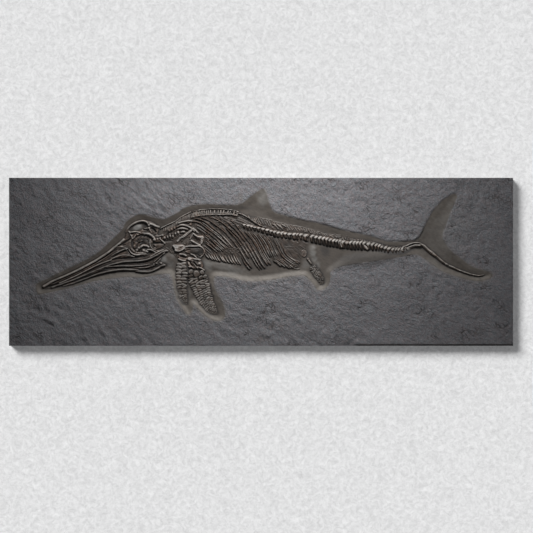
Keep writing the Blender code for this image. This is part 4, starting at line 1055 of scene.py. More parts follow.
def skull():
    """The skull: its ridges from the beak to the cheek, its cracks, its lumps, and its painted highlights and
    painted shade.
    """
    cheek = [(-353, 84), (-348, 92), (-340, 99), (-330, 103), (-318, 104), (-308, 103), (-304, 98),
             (-307, 93), (-316, 90), (-325, 83), (-340, 84)]
    ridges = [
        (4.8, [4.5, 6.6, 7.0, 7.2, 7.2, 7.0, 6.6, 5.5], [(-582, -65), (-561, -53), (-530, -40), (-501, -27),
                                                         (-468, -10), (-436, 8), (-406, 28), (-392, 40),
                                                         (-380, 49), (-368, 60)]),
        (2.6, [4.4, 5.4, 5.6, 5.4], [(-550, -54), (-500, -33), (-468, -17), (-440, -3), (-420, 9),
                                     (-400, 22), (-384, 31)]),
        (2.6, [4.6, 5.4, 5.6, 5.6], [(-540, -57), (-500, -39), (-468, -23), (-440, -9), (-420, -1),
                                     (-400, 6)]),
        (2.8, [4.8, 5.6, 5.8, 5.2, 4.0], [(-402, 8), (-390, 13), (-378, 17), (-365, 18), (-352, 17),
                                          (-340, 14)]),
        (2.8, [5.0, 6.2, 6.6], [(-400, 17), (-388, 24), (-376, 30), (-366, 34), (-358, 36)]),
        (2.6, [4.4, 5.4, 4.6], [(-386, 41), (-376, 41), (-368, 39), (-362, 37)]),
        (3.6, [3.0, 4.4, 5.6, 7.0, 7.4, 7.4, 7.0, 6.0], [(-362, 80), (-358, 88), (-352, 95), (-344, 101),
                                                         (-334, 106.5), (-324, 109.5), (-314, 110),
                                                         (-307, 107), (-303, 103)]),
        (2.4, [4.0, 4.6, 3.6], [(-302, 94), (-309, 89), (-317, 85)]),
        (2.0, [5.6, 5.8, 5.0], [(-300, 91), (-297, 84), (-293, 77)]),
        (5.0, [6.0, 6.6, 6.6, 5.4], [(-299, 103), (-290, 100), (-282, 96), (-275, 94)]),
        (2.8, [5.0, 6.6, 6.4, 6.0, 4.6], [(-354, 79), (-346, 79.5), (-337, 81), (-328, 79), (-322, 77)]),
        (4.4, [5.0, 7.0, 7.6, 7.6, 7.0], [(-318, 77), (-309, 76), (-301, 75), (-294, 71), (-288, 66),
                                          (-284, 60)]),
        (2.6, [6.0, 6.4, 5.4], [(-352, 78), (-348, 70), (-344, 62)]),
        (2.4, [5.0, 5.6, 5.0], [(-334, 75), (-338, 69), (-342, 63)]),
        (2.2, [5.0, 6.4, 6.6, 6.6, 6.0, 4.6], [(-354, 33), (-350, 27), (-345, 22), (-337, 19), (-327, 19),
                                               (-318, 22)]),
        (3.0, [5.0, 6.8, 6.6, 4.8], [(-304, 33), (-295, 32.5), (-288, 29), (-282, 25)]),
        (1.8, [5.0, 5.4, 5.0, 4.6], [(-297, 60), (-298, 51), (-296, 42), (-291, 35), (-282, 31),
                                     (-271, 28)]),
        (2.6, [5.6, 6.2, 5.4], [(-270, 61), (-264, 56), (-258, 50)]),
        (2.6, [5.0, 5.4, 4.8], [(-283, 69), (-274, 69), (-266, 72)]),
        (2.6, [4.6, 5.2, 4.8], [(-296, 15), (-284, 22), (-274, 28), (-263, 32)]),
    ]
    cuts = [
        (2.2, 3.0, [(-560, -57), (-520, -40), (-480, -22), (-445, -3), (-420, 12), (-400, 27)]),
        (1.6, 2.5, [(-540, -61), (-500, -44), (-460, -28), (-430, -14), (-400, -3), (-380, 3)]),
        (1.6, 3.0, [(-398, 12), (-386, 19), (-374, 25), (-364, 29)]),
        (2.6, 4.2, [(-382, 43), (-371, 48), (-361, 54), (-351, 61)]),
        (1.8, 2.4, [(-371, 44), (-364, 46)]),
        (2.0, 3.0, [(-350, 75), (-343, 76)]),
        (2.2, 4.4, [(-341, 61), (-334, 66), (-326, 69), (-314, 70.5), (-302, 69), (-295, 64)]),
        (3.0, 4.4, [(-293, 90), (-287, 86), (-282, 80)]),
        (2.2, 4.4, [(-316, 87), (-304, 84)]),
        (1.8, 3.0, [(-357, 32), (-352, 24), (-344, 17.5), (-330, 15), (-316, 16)]),
        (1.6, 2.6, [(-351, 33), (-345, 26), (-336, 23), (-326, 22.5)]),
        (5.0, 4.0, [(-304, 24), (-298, 23), (-291, 23)]),
        (2.0, 3.0, [(-350, 89), (-343, 96), (-335, 101), (-325, 103.5)]),
        (3.6, 4.4, [(-290, 51), (-282, 50), (-272, 51), (-266, 50)]),
        (1.8, 2.2, [(-288, 41), (-280, 38)]),
        (1.8, 3.0, [(-400, 5), (-380, 9), (-360, 11), (-345, 10), (-325, 9), (-308, 12), (-298, 16)]),
    ]
    domes = [((-301, 98), (4, 3.5), 8.0, 0), ((-300, 90), (3.5, 3.5), 7.2, 0), ((-286, 59), (5, 4), 7.4, 0),
             ((-278, 61), (4.5, 3.5), 7.0, 20), ((-271, 63), (4, 3), 6.8, 20),
             ((-361, 34), (4.5, 3.5), 6.8, 20), ((-284, 46), (6, 3), 3.6, 0), ((-345, 69), (5, 5), 4.6, 60),
             ((-331, 73), (5, 3), 5.4, 10), ((-353, 80), (4, 3), 6.6, 0)]
    wear_and_painted_light_levels = [((-311, 96), (9, 9), 0, -0.35), ((-300, 75), (14, 4), -20, 0.35), ((-286, 59), (6, 5), 0, 0.3),
            ((-290, 101), (12, 5), -25, 0.2), ((-338, 106), (20, 5), 25, 0.15),
            ((-298, 23), (13, 8), 0, -0.3), ((-288, 86), (9, 8), -30, -0.3), ((-280, 50), (14, 5), 0, -0.3),
            ((-366, 52), (14, 4), 30, -0.25), ((-345, 69), (6, 5), 60, 0.25)]
    return carved(
        box=(-592, -78, -250, 122),
        plates=[(SKULL_OUTLINE, 3.4, 4.0, [(oval(EYE, EYE_RADII), 3.0), (cheek, 3.0)])], ridges=ridges,
        cuts=cuts, domes=domes, wear_and_painted_light_levels=wear_and_painted_light_levels, grain=(27.0, 2.2, 0.9), step=1.0, seed=41)


def eye_ring():
    """The broken ring of thin plates in the eye."""
    plates = 14
    ridges = [
        (3.4, [3.0, 4.6, 4.6], [(-346, 34), (-338, 27), (-328, 24), (-316, 25), (-305, 28)]),
        (4.2, [5.0, 6.6, 6.2, 5.2, 4.4], [(-329, 36), (-322, 41), (-316, 44.5), (-308, 43.5), (-301, 40)]),
    ]
    cuts = [(3.2, 3.0, [(-318, 37), (-311, 37.5), (-306, 36)]), (2.4, 2.0, [(-344, 42), (-343, 52)]),
            (1.6, 2.4, [(-323, 34), (-321, 27)]), (2.6, 1.8, [(-333, 44), (-327, 50), (-318, 53)])]
    domes = [((-333, 31), (6, 4.5), 6.2, 20), ((-327, 37), (5, 4), 6.4, 40),
             ((-314, 30), (5, 3.5), 6.4, -10), ((-308, 28), (4, 3.5), 5.6, 0),
             ((-335, 49), (8, 6), 2.7, 60), ((-322, 54), (10, 6), 2.6, 10), ((-308, 53), (9, 8), 2.8, -30),
             ((-339, 41), (5, 7), 2.8, 0)]
    for number in range(plates):
        t = 2 * math.pi * number / plates
        c, s = math.cos(t), math.sin(t)
        cuts.append((0.9, 0.7, [(EYE[0] + 17 * c, EYE[1] + 12 * s), (EYE[0] + 27 * c, EYE[1] + 20 * s)]))
    wear_and_painted_light_levels = [((-327, 36), (6, 4), 20, 0.3), ((-314, 31), (8, 4), -10, 0.3), ((-318, 56), (26, 12), 0, -0.25)]
    return carved(
        box=(-352, 18, -284, 78), plates=[(oval(EYE, (29, 22)), 1.6, 5.0, [])], ridges=ridges, cuts=cuts,
        domes=domes, wear_and_painted_light_levels=wear_and_painted_light_levels, grain=(60.0, 2.6, 1.6), step=0.8, seed=43)


def lower_jaw():
    """The lower jaw, which lies along the skull's lower edge."""
    ridges = [
        (3.4, [4.5, 5.6, 5.8, 5.8, 6.2, 6.6, 6.8, 6.4, 5.0], [(-560, -68), (-500, -47), (-450, -26),
                                                              (-407, -9), (-385, -3), (-367, 0.5),
                                                              (-342, 2), (-326, 3), (-307, 6), (-292, 12),
                                                              (-278, 19), (-268, 25), (-258, 29),
                                                              (-251, 30)]),
        (2.2, [4.0, 5.2, 5.4, 5.2, 4.0], [(-440, -27), (-415, -15), (-395, -12), (-375, -11), (-350, -11),
                                          (-325, -10), (-309, -8), (-300, -6)]),
        (2.6, [3.4, 4.6, 5.0, 4.0], [(-345, -15), (-328, -16), (-310, -15), (-297, -12), (-286, -9)]),
        (3.2, [4.4, 5.6, 6.2, 6.2, 6.0, 5.4, 4.4], [(-530, -65), (-490, -52), (-442, -34), (-420, -28),
                                                    (-398, -23), (-370, -20), (-350, -20.5), (-330, -22)]),
        (3.8, [4.0, 6.2, 7.0, 6.8, 5.6], [(-334, -25), (-318, -26), (-302, -26), (-290, -23), (-278, -17),
                                          (-268, -11), (-259, -8)]),
        (2.6, [4.4, 5.6, 5.4], [(-286, 1), (-276, 8), (-267, 17), (-259, 24)]),
        (2.0, [4.0, 5.0, 4.6], [(-284, -6), (-276, 1), (-270, 8)]),
        (2.0, [4.6, 5.0], [(-520, -60), (-470, -40), (-430, -21)]),
    ]
    cuts = [
        (2.0, 3.2, [(-392, -8), (-370, -5), (-350, -3), (-330, -3), (-310, -1), (-296, 3), (-285, 9),
                    (-275, 15), (-263, 23)]),
        (1.8, 3.2, [(-420, -17), (-400, -17), (-380, -16), (-365, -15.5), (-350, -16), (-338, -14)]),
        (1.6, 2.0, [(-338, -13), (-318, -12.5), (-303, -10)]),
        (2.4, 2.4, [(-325, -20), (-310, -20.5), (-296, -18), (-284, -12)]),
        (1.5, 2.4, [(-540, -65), (-500, -52), (-460, -37), (-430, -25)]),
        (1.6, 3.0, [(-283, 0), (-273, 9), (-264, 18)]),
    ]
    domes = [((-280, -4), (5, 3.5), 5.6, 10), ((-288, -7), (4, 3), 5.2, 0),
             ((-268, -4), (5, 3.5), 5.6, -10)]
    wear_and_painted_light_levels = [((-305, -26), (26, 4), 0, 0.2), ((-262, 28), (12, 4), 25, 0.15),
            ((-310, -16), (24, 5), 0, -0.1)]
    return carved(
        box=(-588, -80, -240, 46), plates=[(JAW_OUTLINE, 2.4, 3.0, [])], ridges=ridges, cuts=cuts,
        domes=domes, wear_and_painted_light_levels=wear_and_painted_light_levels, grain=(10.0, 1.9, 0.8), step=1.0, seed=45)


def shoulder(made):
    """The neck's knobs, the shoulder girdle and the upper arms."""
    made["neck_vertebrae"] = carved(
        box=(-272, 48, -212, 92),
        plates=[
            ([(-266, 60), (-248, 58), (-232, 64), (-218, 74), (-222, 84), (-240, 78), (-262, 74)], 3.6, 3.0,
             []),
        ],
        cuts=[
            (1.5, 3.5, [(-253, 58), (-255, 75)]), (1.5, 3.5, [(-246, 59), (-249, 77)]),
            (1.5, 3.5, [(-239, 61), (-242, 80)]), (1.5, 3.5, [(-232, 64), (-234, 82)]),
            (1.5, 3.5, [(-225, 70), (-228, 86)]), (2.2, 3.5, [(-258, 70), (-250, 74)]),
            (2.0, 2.5, [(-247, 67), (-245, 66)]),
        ],
        domes=[
            ((-258, 64), (5, 5.5), 7.0, 0), ((-250, 66), (4.5, 6), 6.6, 0), ((-243, 68), (4, 6), 6.8, 0),
            ((-236, 68), (4, 6), 6.4, 0), ((-229, 75), (4, 5), 6.6, 0), ((-222, 78), (4, 5), 6.0, 0),
            ((-264, 71), (4, 4), 6.4, 0),
        ],
        wear_and_painted_light_levels=[((-242, 70), (44, 28), 0, -0.24)], grain=(60.0, 2.4, 0.8), step=0.8, seed=47)
    made["collar_bone"] = carved(
        box=(-230, 46, -160, 96),
        ridges=[
            (3.8, [5.0, 6.6, 6.8, 6.4, 5.0], [(-181, 90), (-190, 82), (-198, 76), (-207, 69), (-217, 63),
                                              (-224, 56)]),
            (3.2, [5.0, 6.2, 4.6], [(-183, 90), (-176, 85), (-169, 78)]),
            (1.8, [4.0, 5.4, 4.0], [(-182, 75), (-186, 69), (-190, 62)]),
        ],
        cuts=[(1.0, 1.8, [(-186, 85), (-197, 75), (-210, 66)])], grain=(38.0, 2.0, 0.8), step=0.8, seed=49)
    made["shoulder_splint"] = carved(
        box=(-196, 40, -158, 62),
        ridges=[(3.4, [4.5, 6.8, 6.8, 5.0], [(-187, 57), (-179, 53), (-171, 48), (-164, 45)])],
        grain=(-30.0, 2.0, 0.6), step=0.8, seed=50)
    made["shoulder_blade"] = carved(
        box=(-192, 42, -146, 84),
        plates=[
            ([(-184, 74), (-180, 78), (-172, 71), (-156, 71), (-151, 62), (-156, 49), (-163, 48),
              (-165, 58), (-174, 63)], 4.4, 2.5, []),
        ],
        ridges=[
            (3.4, [5.0, 7.0, 7.2, 7.2], [(-182, 76), (-174, 70), (-167, 67), (-157, 67)]),
            (4.0, [7.0, 6.8, 5.4], [(-157, 66), (-159, 58), (-160, 50)]),
        ],
        cuts=[(1.8, 3.0, [(-181, 70), (-174, 65)])], domes=[((-161, 65), (7, 4.5), 7.4, 0)],
        wear_and_painted_light_levels=[((-161, 64), (9, 6), 0, 0.5), ((-160, 54), (5, 8), 0, 0.4)], grain=(30.0, 2.6, 0.7), step=0.8,
        seed=51)
    made["breast_plate"] = carved(
        box=(-210, 8, -144, 50),
        plates=[
            ([(-204, 43), (-183, 45), (-166, 45), (-155, 39), (-150, 30), (-152, 20), (-161, 13),
              (-175, 13), (-190, 19), (-205, 27)], 3.6, 3.0, []),
        ],
        ridges=[
            (2.8, [5.4, 6.4, 6.4, 6.0], [(-203, 40), (-190, 42), (-178, 42), (-166, 43)]),
            (2.6, [5.8, 6.0, 5.4, 4.6], [(-166, 43), (-157, 38), (-152, 29), (-155, 19), (-163, 13)]),
            (2.6, [5.0, 6.2, 5.4], [(-188, 21), (-180, 18), (-173, 11)]),
        ],
        cuts=[
            (1.6, 3.4, [(-194, 37), (-185, 37.5), (-175, 38), (-164, 37)]),
            (2.6, 2.0, [(-168, 17), (-163, 15)]), (1.6, 2.4, [(-207, 27), (-199, 31), (-190, 33)]),
        ],
        domes=[((-178, 28), (18, 12), 5.0, 0)],
        wear_and_painted_light_levels=[
            ((-174, 28), (20, 13), 0, -0.28), ((-192, 42), (12, 3), 0, 0.2),
            ((-153, 26), (11, 20), 0, -0.32),
        ],
        grain=(10.0, 3.4, 0.4), step=0.9, seed=52)
    made["throat_plate"] = carved(
        box=(-242, 20, -198, 52),
        plates=[
            ([(-238, 45), (-222, 47), (-206, 45), (-203, 36), (-210, 31), (-222, 26), (-230, 27)], 5.4, 3.0,
             []),
        ],
        ridges=[
            (2.6, [6.4, 7.0, 6.0], [(-230, 30), (-220, 29), (-210, 33), (-204, 37)]),
            (3.0, [6.6, 7.0, 6.2], [(-236, 43), (-231, 38), (-229, 31)]),
        ],
        cuts=[(1.6, 1.6, [(-216, 37), (-208, 42)])], domes=[((-226, 37), (9, 7), 6.8, 0)],
        wear_and_painted_light_levels=[((-226, 37), (13, 9), 0, 0.5), ((-211, 38), (8, 6), 0, 0.25)], grain=(12.0, 3.0, 0.6),
        step=0.9, seed=53)
    made["far_upper_arm"] = carved(
        box=(-228, -4, -192, 28),
        plates=[
            ([(-220, 22), (-210, 24), (-200, 20), (-197, 9), (-203, 1), (-216, 3), (-222, 12)], 3.6, 3.0,
             []),
        ],
        ridges=[
            (3.4, [5.6, 7.2, 6.8], [(-217, 21), (-208, 20), (-201, 17)]),
            (2.6, [4.6, 5.4, 4.6], [(-221, 8), (-212, 4), (-203, 3)]),
        ],
        cuts=[(2.6, 3.2, [(-217, 15), (-209, 13), (-201, 11)])], grain=(-10.0, 2.4, 0.8), step=0.8, seed=54)
    made["near_upper_arm"] = carved(
        box=(-202, -26, -150, 16),
        plates=[
            ([(-196, 12), (-182, 12), (-166, 10), (-158, 0), (-154, -12), (-160, -19), (-178, -20),
              (-192, -16), (-198, -3)], 3.8, 4.0, []),
        ],
        ridges=[
            (3.0, [5.0, 6.4, 6.4, 5.0], [(-180, 8), (-172, 7), (-163, 6)]),
            (2.8, [4.6, 5.8, 5.0], [(-196, 8), (-188, 4), (-180, 8)]),
            (2.8, [5.0, 6.0, 5.0], [(-183, 2), (-178, -8), (-170, -16)]),
            (3.0, [5.0, 6.8, 5.4], [(-168, -13), (-160, -17), (-153, -22)]),
        ],
        cuts=[
            (2.2, 5.0, [(-198, 3), (-191, 0), (-188, -6), (-184, -10)]),
            (2.4, 5.2, [(-181, -1), (-176, -6), (-172, -11)]), (2.0, 3.6, [(-168, -12), (-163, -13)]),
            (1.6, 2.0, [(-190, 3), (-182, 6)]),
        ],
        domes=[((-165, -5), (5.5, 5), 7.4, 0), ((-190, -13), (6, 4), 5.4, 0)],
        wear_and_painted_light_levels=[
            ((-165, -5), (6, 6), 0, 0.4), ((-192, 9), (10, 5), 0, 0.25), ((-182, -4), (10, 8), -40, -0.2),
        ],
        grain=(-40.0, 2.6, 0.9), step=0.8, seed=55)


def rib_cage(made):
    """The ribs, the neck's short ribs and the belly's fan. The broken thin ribs between them come with the
    crushed bone.
    """
    lines = [smooth_path(line, 3.0) for line in RIBS]
    for number, line in enumerate(RIBS):
        made[f"rib_{number + 1:02d}"] = solid = Solid()
        others = lines[:number] + lines[number + 1:]
        rib(solid, line, others, 5.4 + 0.3 * (number % 3), 100 + number)
    for number, line in enumerate(NECK_RIBS):
        made[f"neck_rib_{number + 1}"] = solid = Solid()
        bone(solid, line, [2.2, 3.0, 3.0, 2.4], [4.5, 6.0, 6.0, 5.0], 140 + number)
    made["belly_ribs"] = solid = Solid()
    heads = smooth_path([(-154, 25), (-134, 22), (-114, 20), (-94, 19), (-78, 20), (-64, 22)], 0.5)
    tips = smooth_path([(-140, 8), (-116, 1), (-96, -2), (-76, -5), (-60, -8), (-49, -8)], 0.5)
    scatter = np.random.default_rng(60)
    count = 12
    for number in range(count):
        share = (number + 0.5) / count
        head = at(heads, share) + scatter.uniform(-1.2, 1.2, 2)
        tip = at(tips, share) + scatter.uniform(-1.2, 1.2, 2)
        bone(solid, [head, (head + tip) / 2 + (-0.8, -0.8), tip], [1.2, 1.9, 2.0, 1.5],
             np.array([3.2, 4.6, 4.8, 3.4]) * scatter.uniform(0.75, 1.05), 160 + number, points=9,
             sunk=[0.3, 0.0, 0.0, 0.3])


def backbone(made):
    """The runs of vertebrae, the displaced bones on the tail, and the spines above them."""
    made["back_vertebrae"] = solid = Solid()
    vertebrae(solid, BACK_LINE, [6.0, 7.0, 7.5, 8.0, 8.5, 9.0, 9.5, 10.0, 10.5, 11.0], 10.4, 7.4, 202)
    made["tail_vertebrae"] = solid = Solid()
    vertebrae(solid, TAIL_LINE, [12.0, 13.0, 13.0, 12.0, 12.5, 13.0, 13.0, 13.0, 13.0, 11.6, 11.0, 10.6,
                                 10.4, 9.0], 9.5, 7.4, 203, [0.3, 0.3, 0.3, 0.3, 0.25, 0.1, 0.05, 0.05])
    bone(solid, [(212, 57), (213, 48), (217, 37)], [2.2, 2.4, 2.0], 7.4, 208)
    bone(solid, [(274, 45), (280, 39), (287, 31)], [3.4, 4.2, 3.4], [6.0, 7.0, 6.0], 209, rough=0.25)
    bone(solid, [(384, 31), (395, 36), (406, 41), (418, 44), (429, 43)], [8.0, 7.0, 6.0, 5.0], 3.4, 205)
    bone(solid, [(378, 40), (388, 42), (398, 47), (410, 51), (422, 51), (432, 48)], [2.0, 2.0, 1.8], 6.2,
         206)
    bone(solid, [(394, 38), (404, 42), (416, 44), (429, 43)], 1.7, 6.0, 207)
    scatter = np.random.default_rng(214)
    stubs = [(203, 66), (230, 63), (255, 61), (280, 58), (300, 54), (320, 49), (340, 43.5), (360, 40.5),
             (380, 41), (398, 47)]
    for number, spot in enumerate(smooth_path(stubs, 3.6)):
        foot = spot + scatter.uniform(-1.4, 1.4, 2)
        reach = scatter.uniform(3.0, 6.5)
        bone(solid, [foot, foot + (0.2 * reach, -0.5 * reach), foot + (0.5 * reach, -reach)],
             scatter.uniform(0.9, 1.5), scatter.uniform(2.6, 4.8), 300 + number, points=5, ends=1.0)
    made["tail_fin_vertebrae"] = solid = Solid()
    vertebrae(solid, FIN_LINE, [4.5, 5.5, 5.5, 5.0, 4.6, 4.2, 3.8, 3.4, 3.0, 2.6, 2.2, 1.6], 5.0, 6.2, 204,
              0.35, 1.2, 1.0, 0.14, 0.0)

    made["neck_spines"] = solid = Solid()
    feet = [(-262, 80), (-246, 84), (-234, 92), (-222, 103), (-208, 110), (-190, 116)]
    tops = [(-262, 92), (-248, 99), (-236, 106), (-222, 116), (-207, 125), (-188, 134)]
    bars(solid, feet, tops, 4.2, 1.8, 2.6, 3)
    bone(solid, [(-271, 88), (-262, 93), (-250, 99), (-239, 104), (-229, 109), (-219, 117), (-209, 123),
                 (-198, 129), (-186, 134)], 1.8, 4.2, 211, points=9)
    bone(solid, [(-224, 103), (-214, 106), (-204, 108), (-192, 110), (-182, 108)], 2.6, 5.4, 212, points=9)
    for spot in ((-245, 85), (-238, 88), (-231, 92), (-188, 101)):
        pad(solid, spot, (1.0, 0.0), (3.2, 3.4), 6.4, 213)

    made["back_spines"] = solid = Solid()
    feet = [(-190, 119), (-163, 124), (-140, 126), (-119, 127), (-98, 127), (-80, 127), (-60, 122)]
    tops = [(-186, 134), (-163, 139), (-140, 141), (-119, 142), (-98, 141), (-80, 139), (-58, 133)]
    bars(solid, feet[:3], tops[:3], 5.4, 1.9, 3.4, 4, lean=2.0)
    bars(solid, feet[2:], tops[2:], 9.6, 2.6, 3.6, 24, lean=2.0)
    bone(solid, tops, 1.3, [3.6, 4.2, 3.4, 4.2, 3.8], 214, points=9, rough=0.35)
    bone(solid, feet, 1.4, [3.6, 4.4, 4.8, 4.0], 215, points=9, rough=0.4)

    made["loin_spines"] = solid = Solid()
    feet = [(-53, 120), (-34, 111), (-15, 103), (10, 97), (35, 92), (60, 87), (90, 83), (120, 80),
            (150, 73), (175, 69), (200, 63)]
    tops = [(-55, 131), (-30, 124), (0, 117), (20, 113), (35, 108), (60, 101), (90, 95), (122, 91),
            (150, 81), (175, 75), (205, 67)]
    bars(solid, feet, tops, 7.0, 2.0, 2.2, 5, lean=-14.0)
    bone(solid, [(-78, 135), (-62, 131), (-46, 125), (-33, 117), (-21, 109), (-9, 101), (4, 95), (18, 91)],
         [1.2, 1.7, 1.9, 1.7, 1.2], [3.8, 5.0, 5.2, 5.0, 4.0], 216, points=11, rough=0.3)
    for line in ([(30, 103), (38, 98), (44, 91), (48, 86)], [(40, 103), (48, 97), (55, 91), (60, 85)],
                 [(52, 103), (62, 97), (70, 91)]):
        bone(solid, line, 2.0, 4.6, 217, points=9)


# The outline of the crushed bone
BODY_BED = [(-268, 62), (-264, 88), (-232, 106), (-206, 124), (-186, 133), (-140, 139), (-98, 139),
            (-60, 130), (-30, 118), (0, 121), (35, 112), (60, 105), (106, 96), (135, 89), (175, 78),
            (240, 72), (290, 64), (340, 52), (352, 40), (330, 36), (285, 44), (220, 48), (150, 59),
            (136, 60), (130, 50), (122, 30), (112, 8), (108, -12), (96, -24), (70, -20), (50, -8), (22, 6),
            (0, 8), (-28, 6), (-48, 10), (-80, 6), (-120, 8), (-150, 12), (-160, 4), (-200, 4), (-226, 8),
            (-240, 20), (-256, 30), (-264, 42)]

# The band of crushed spines above the loin and the tail: its upper and lower edge
LOIN_TOP = [(-30, 122), (0, 117), (35, 108), (60, 101), (106, 92), (135, 85), (175, 75), (240, 68),
            (290, 60), (335, 50)]
LOIN_LOW = [(-30, 99), (0, 95), (35, 90), (60, 84), (106, 79), (135, 74), (175, 68), (240, 59), (290, 54),
            (335, 45)]


def crushed_bone():
    """The crushed bits that fill the body between the bones: streaks, lumps, broken strokes and pits."""
    field = Field(-272, -28, 356, 142, 1.05)
    inside = depth_inside(field.x, field.y, smooth_path(BODY_BED, 4.0, closed=True), 10.0)
    x, y = field.x, field.y
    front = np.clip((-170 - x) / 40, 0, 1)
    rear = np.clip((x - 40) / 50, 0, 1) * np.clip((y - 20) / 30, 0, 1)
    back = np.clip((y - 88 + 0.1 * x) / 20, 0, 1)
    streaks = 0.0
    weights = 0.0
    for weight, turn, seed in ((front, 32.0, 71), (rear, -38.0, 72), (back, -32.0, 73),
                               (0.25 + 0 * x, -54.0, 74)):
        u, v = turned(x, y, turn)
        streaks = streaks + weight * (1 - 2 * np.abs(noise(u / 7.0, v, 3.6, seed)))
        weights = weights + weight
    streaks = streaks / weights
    lumps = noise(x, y, 11.0, 75)
    ground = ease(inside / 9.0) * (0.9 + 0.8 * streaks * (1 - 0.6 * rear) + 0.5 * lumps)
    strokes = [
        (1.6, 3.8, [(-118, 107), (-100, 106), (-84, 102), (-70, 98), (-60, 96)]),
        (1.4, 3.6, [(-66, 112), (-54, 110), (-44, 105), (-34, 99), (-26, 96)]),
        (1.4, 3.6, [(-100, 118), (-84, 113), (-70, 108), (-58, 103)]),
        (1.3, 3.6, [(-64, 106), (-50, 101), (-38, 97)]), (2.0, 5.0, [(-34, 96), (-26, 94), (-18, 91)]),
        (1.6, 4.4, [(-108, 112), (-92, 108), (-78, 103)]), (1.1, 2.7, [(68, 31), (82, 31.5), (94, 30)]),
        (1.1, 2.7, [(66, 40), (78, 40), (90, 39)]),
        (1.8, 4.2, [(57, 40), (57, 28), (60, 17), (67, 11), (76, 6), (88, 1), (100, -4)]),
        (1.8, 4.0, [(64, 30), (68, 20), (75, 12), (86, 6), (97, 2), (104, -2)]),
        (2.0, 4.4, [(57, 6), (68, -1), (80, -7), (94, -14)]),
        (3.2, 2.6, [(90, -18), (96, -20), (102, -20)]), (1.6, 3.0, [(104, 44), (112, 38), (118, 34)]),
        (2.0, 3.8, [(-205, 48), (-212, 56), (-214, 62)]), (2.2, 4.4, [(-198, 44), (-196, 52)]),
        (1.6, 3.0, [(-255, 38), (-246, 32), (-240, 24)]), (1.8, 4.6, [(-172, 98), (-160, 92), (-150, 84)]),
        (2.0, 4.8, [(-170, 90), (-158, 82), (-148, 74)]), (1.8, 4.2, [(-152, 42), (-142, 34), (-134, 27)]),
        (1.8, 4.0, [(-150, 34), (-142, 27), (-136, 21)]),
        (1.6, 4.0, [(-118, 60), (-108, 52), (-98, 44), (-90, 37)]),
        (1.6, 3.8, [(-102, 56), (-92, 47), (-84, 39)]),
    ]
    field.z = np.where(inside > 0, FLOOR + 0.05 + ground, EMPTY)
    for half, height, line in strokes:
        field.ridge(line, half, height - 0.8, 0.8)
    scatter = np.random.default_rng(80)
    upper, lower = smooth_path(LOIN_TOP, 1.0), smooth_path(LOIN_LOW, 1.0)
    for _ in range(150):
        share, down = scatter.uniform(0.0, 1.0), scatter.uniform(0.05, 1.0)
        spot = (1 - down) * at(upper, share) + down * at(lower, share)
        radii = scatter.uniform((2.0, 1.2), (5.2, 1.8))
        field.dome(spot, radii, scatter.uniform(1.8, 3.3), scatter.uniform(-60, -5))
    for spot in upper[::6]:
        field.dome(spot + scatter.uniform(-2.0, 2.0, 2), (4.0, 1.5), scatter.uniform(1.2, 2.8), -12)
    for spot in scatter.normal((-82, 33), (16, 6), (70, 2)):
        radii = scatter.uniform((1.6, 1.1), (3.6, 1.7))
        field.dome(spot, radii, scatter.uniform(1.8, 3.6), scatter.uniform(-70, 20))
    pits = [
        (2.8, [(-147, 133), (-120, 134.5), (-95, 134), (-66, 130)]),
        (2.6, [(-262, 57), (-252, 55), (-240, 56)]), (2.6, [(-253, 74), (-250, 73)]),
        (2.4, [(-236, 37), (-234, 30), (-229, 20)]), (5.5, [(-210, 50), (-203, 57), (-194, 62)]),
        (3.0, [(-187, 62), (-182, 61)]), (2.4, [(-173, 55), (-168, 52)]), (2.4, [(-190, 47), (-180, 48)]),
        (2.2, [(-205, 102), (-192, 103)]), (1.8, [(-216, 75), (-207, 76)]), (2.0, [(-218, 68), (-215, 66)]),
        (3.2, [(-125, 92), (-116, 95), (-108, 97)]), (2.4, [(-100, 97), (-88, 90)]),
        (2.2, [(-86, 96), (-74, 89)]), (3.0, [(-51, 89), (-43, 83)]), (2.4, [(-34, 82), (-31, 81)]),
        (3.0, [(-8, 83), (-7, 80)]), (2.4, [(0, 76), (8, 74)]), (2.2, [(20, 71), (30, 70)]),
        (2.2, [(-97, 123), (-84, 119), (-68, 114)]), (2.0, [(-88, 115), (-80, 112)]),
        (2.2, [(-62, 122), (-50, 117), (-35, 111), (-22, 103), (-13, 97)]), (1.6, [(37, 97), (47, 87)]),
        (1.6, [(47, 97), (57, 87)]), (1.6, [(8, 98), (15, 97)]), (2.4, [(50, -12), (57, -16)]),
        (2.4, [(-133, 53), (-125, 47)]), (3.0, [(-97, 18), (-92, 15)]), (2.0, [(28, 4), (24, 12)]),
        (2.4, [(5, 28), (10, 22)]), (3.0, [(60, 68), (68, 62)]), (3.0, [(82, 62), (88, 57)]),
        (3.0, [(35, 66), (43, 63)]), (2.6, [(93, 60), (98, 54)]), (3.0, [(114, 57), (122, 53)]),
        (3.0, [(125, 53), (140, 45)]), (2.2, [(-185, 113), (-172, 111), (-160, 107), (-150, 102)]),
        (2.2, [(-168, 117), (-150, 112), (-138, 107)]),
        (2.0, [(-230, 88), (-220, 92), (-210, 93), (-200, 92), (-192, 89)]),
        (2.0, [(-228, 81), (-215, 83), (-196, 81)]),
    ]
    for half, line in pits:
        field.groove(line, half, 4.0)
    field.z = np.where(inside > 0, np.maximum(field.z, FLOOR - 0.2), EMPTY)
    solid = Solid()
    field.into(solid, 1.0 - 0.78 * ease(inside / 9.0), 0.72)
    thin_ribs(solid)
    return solid


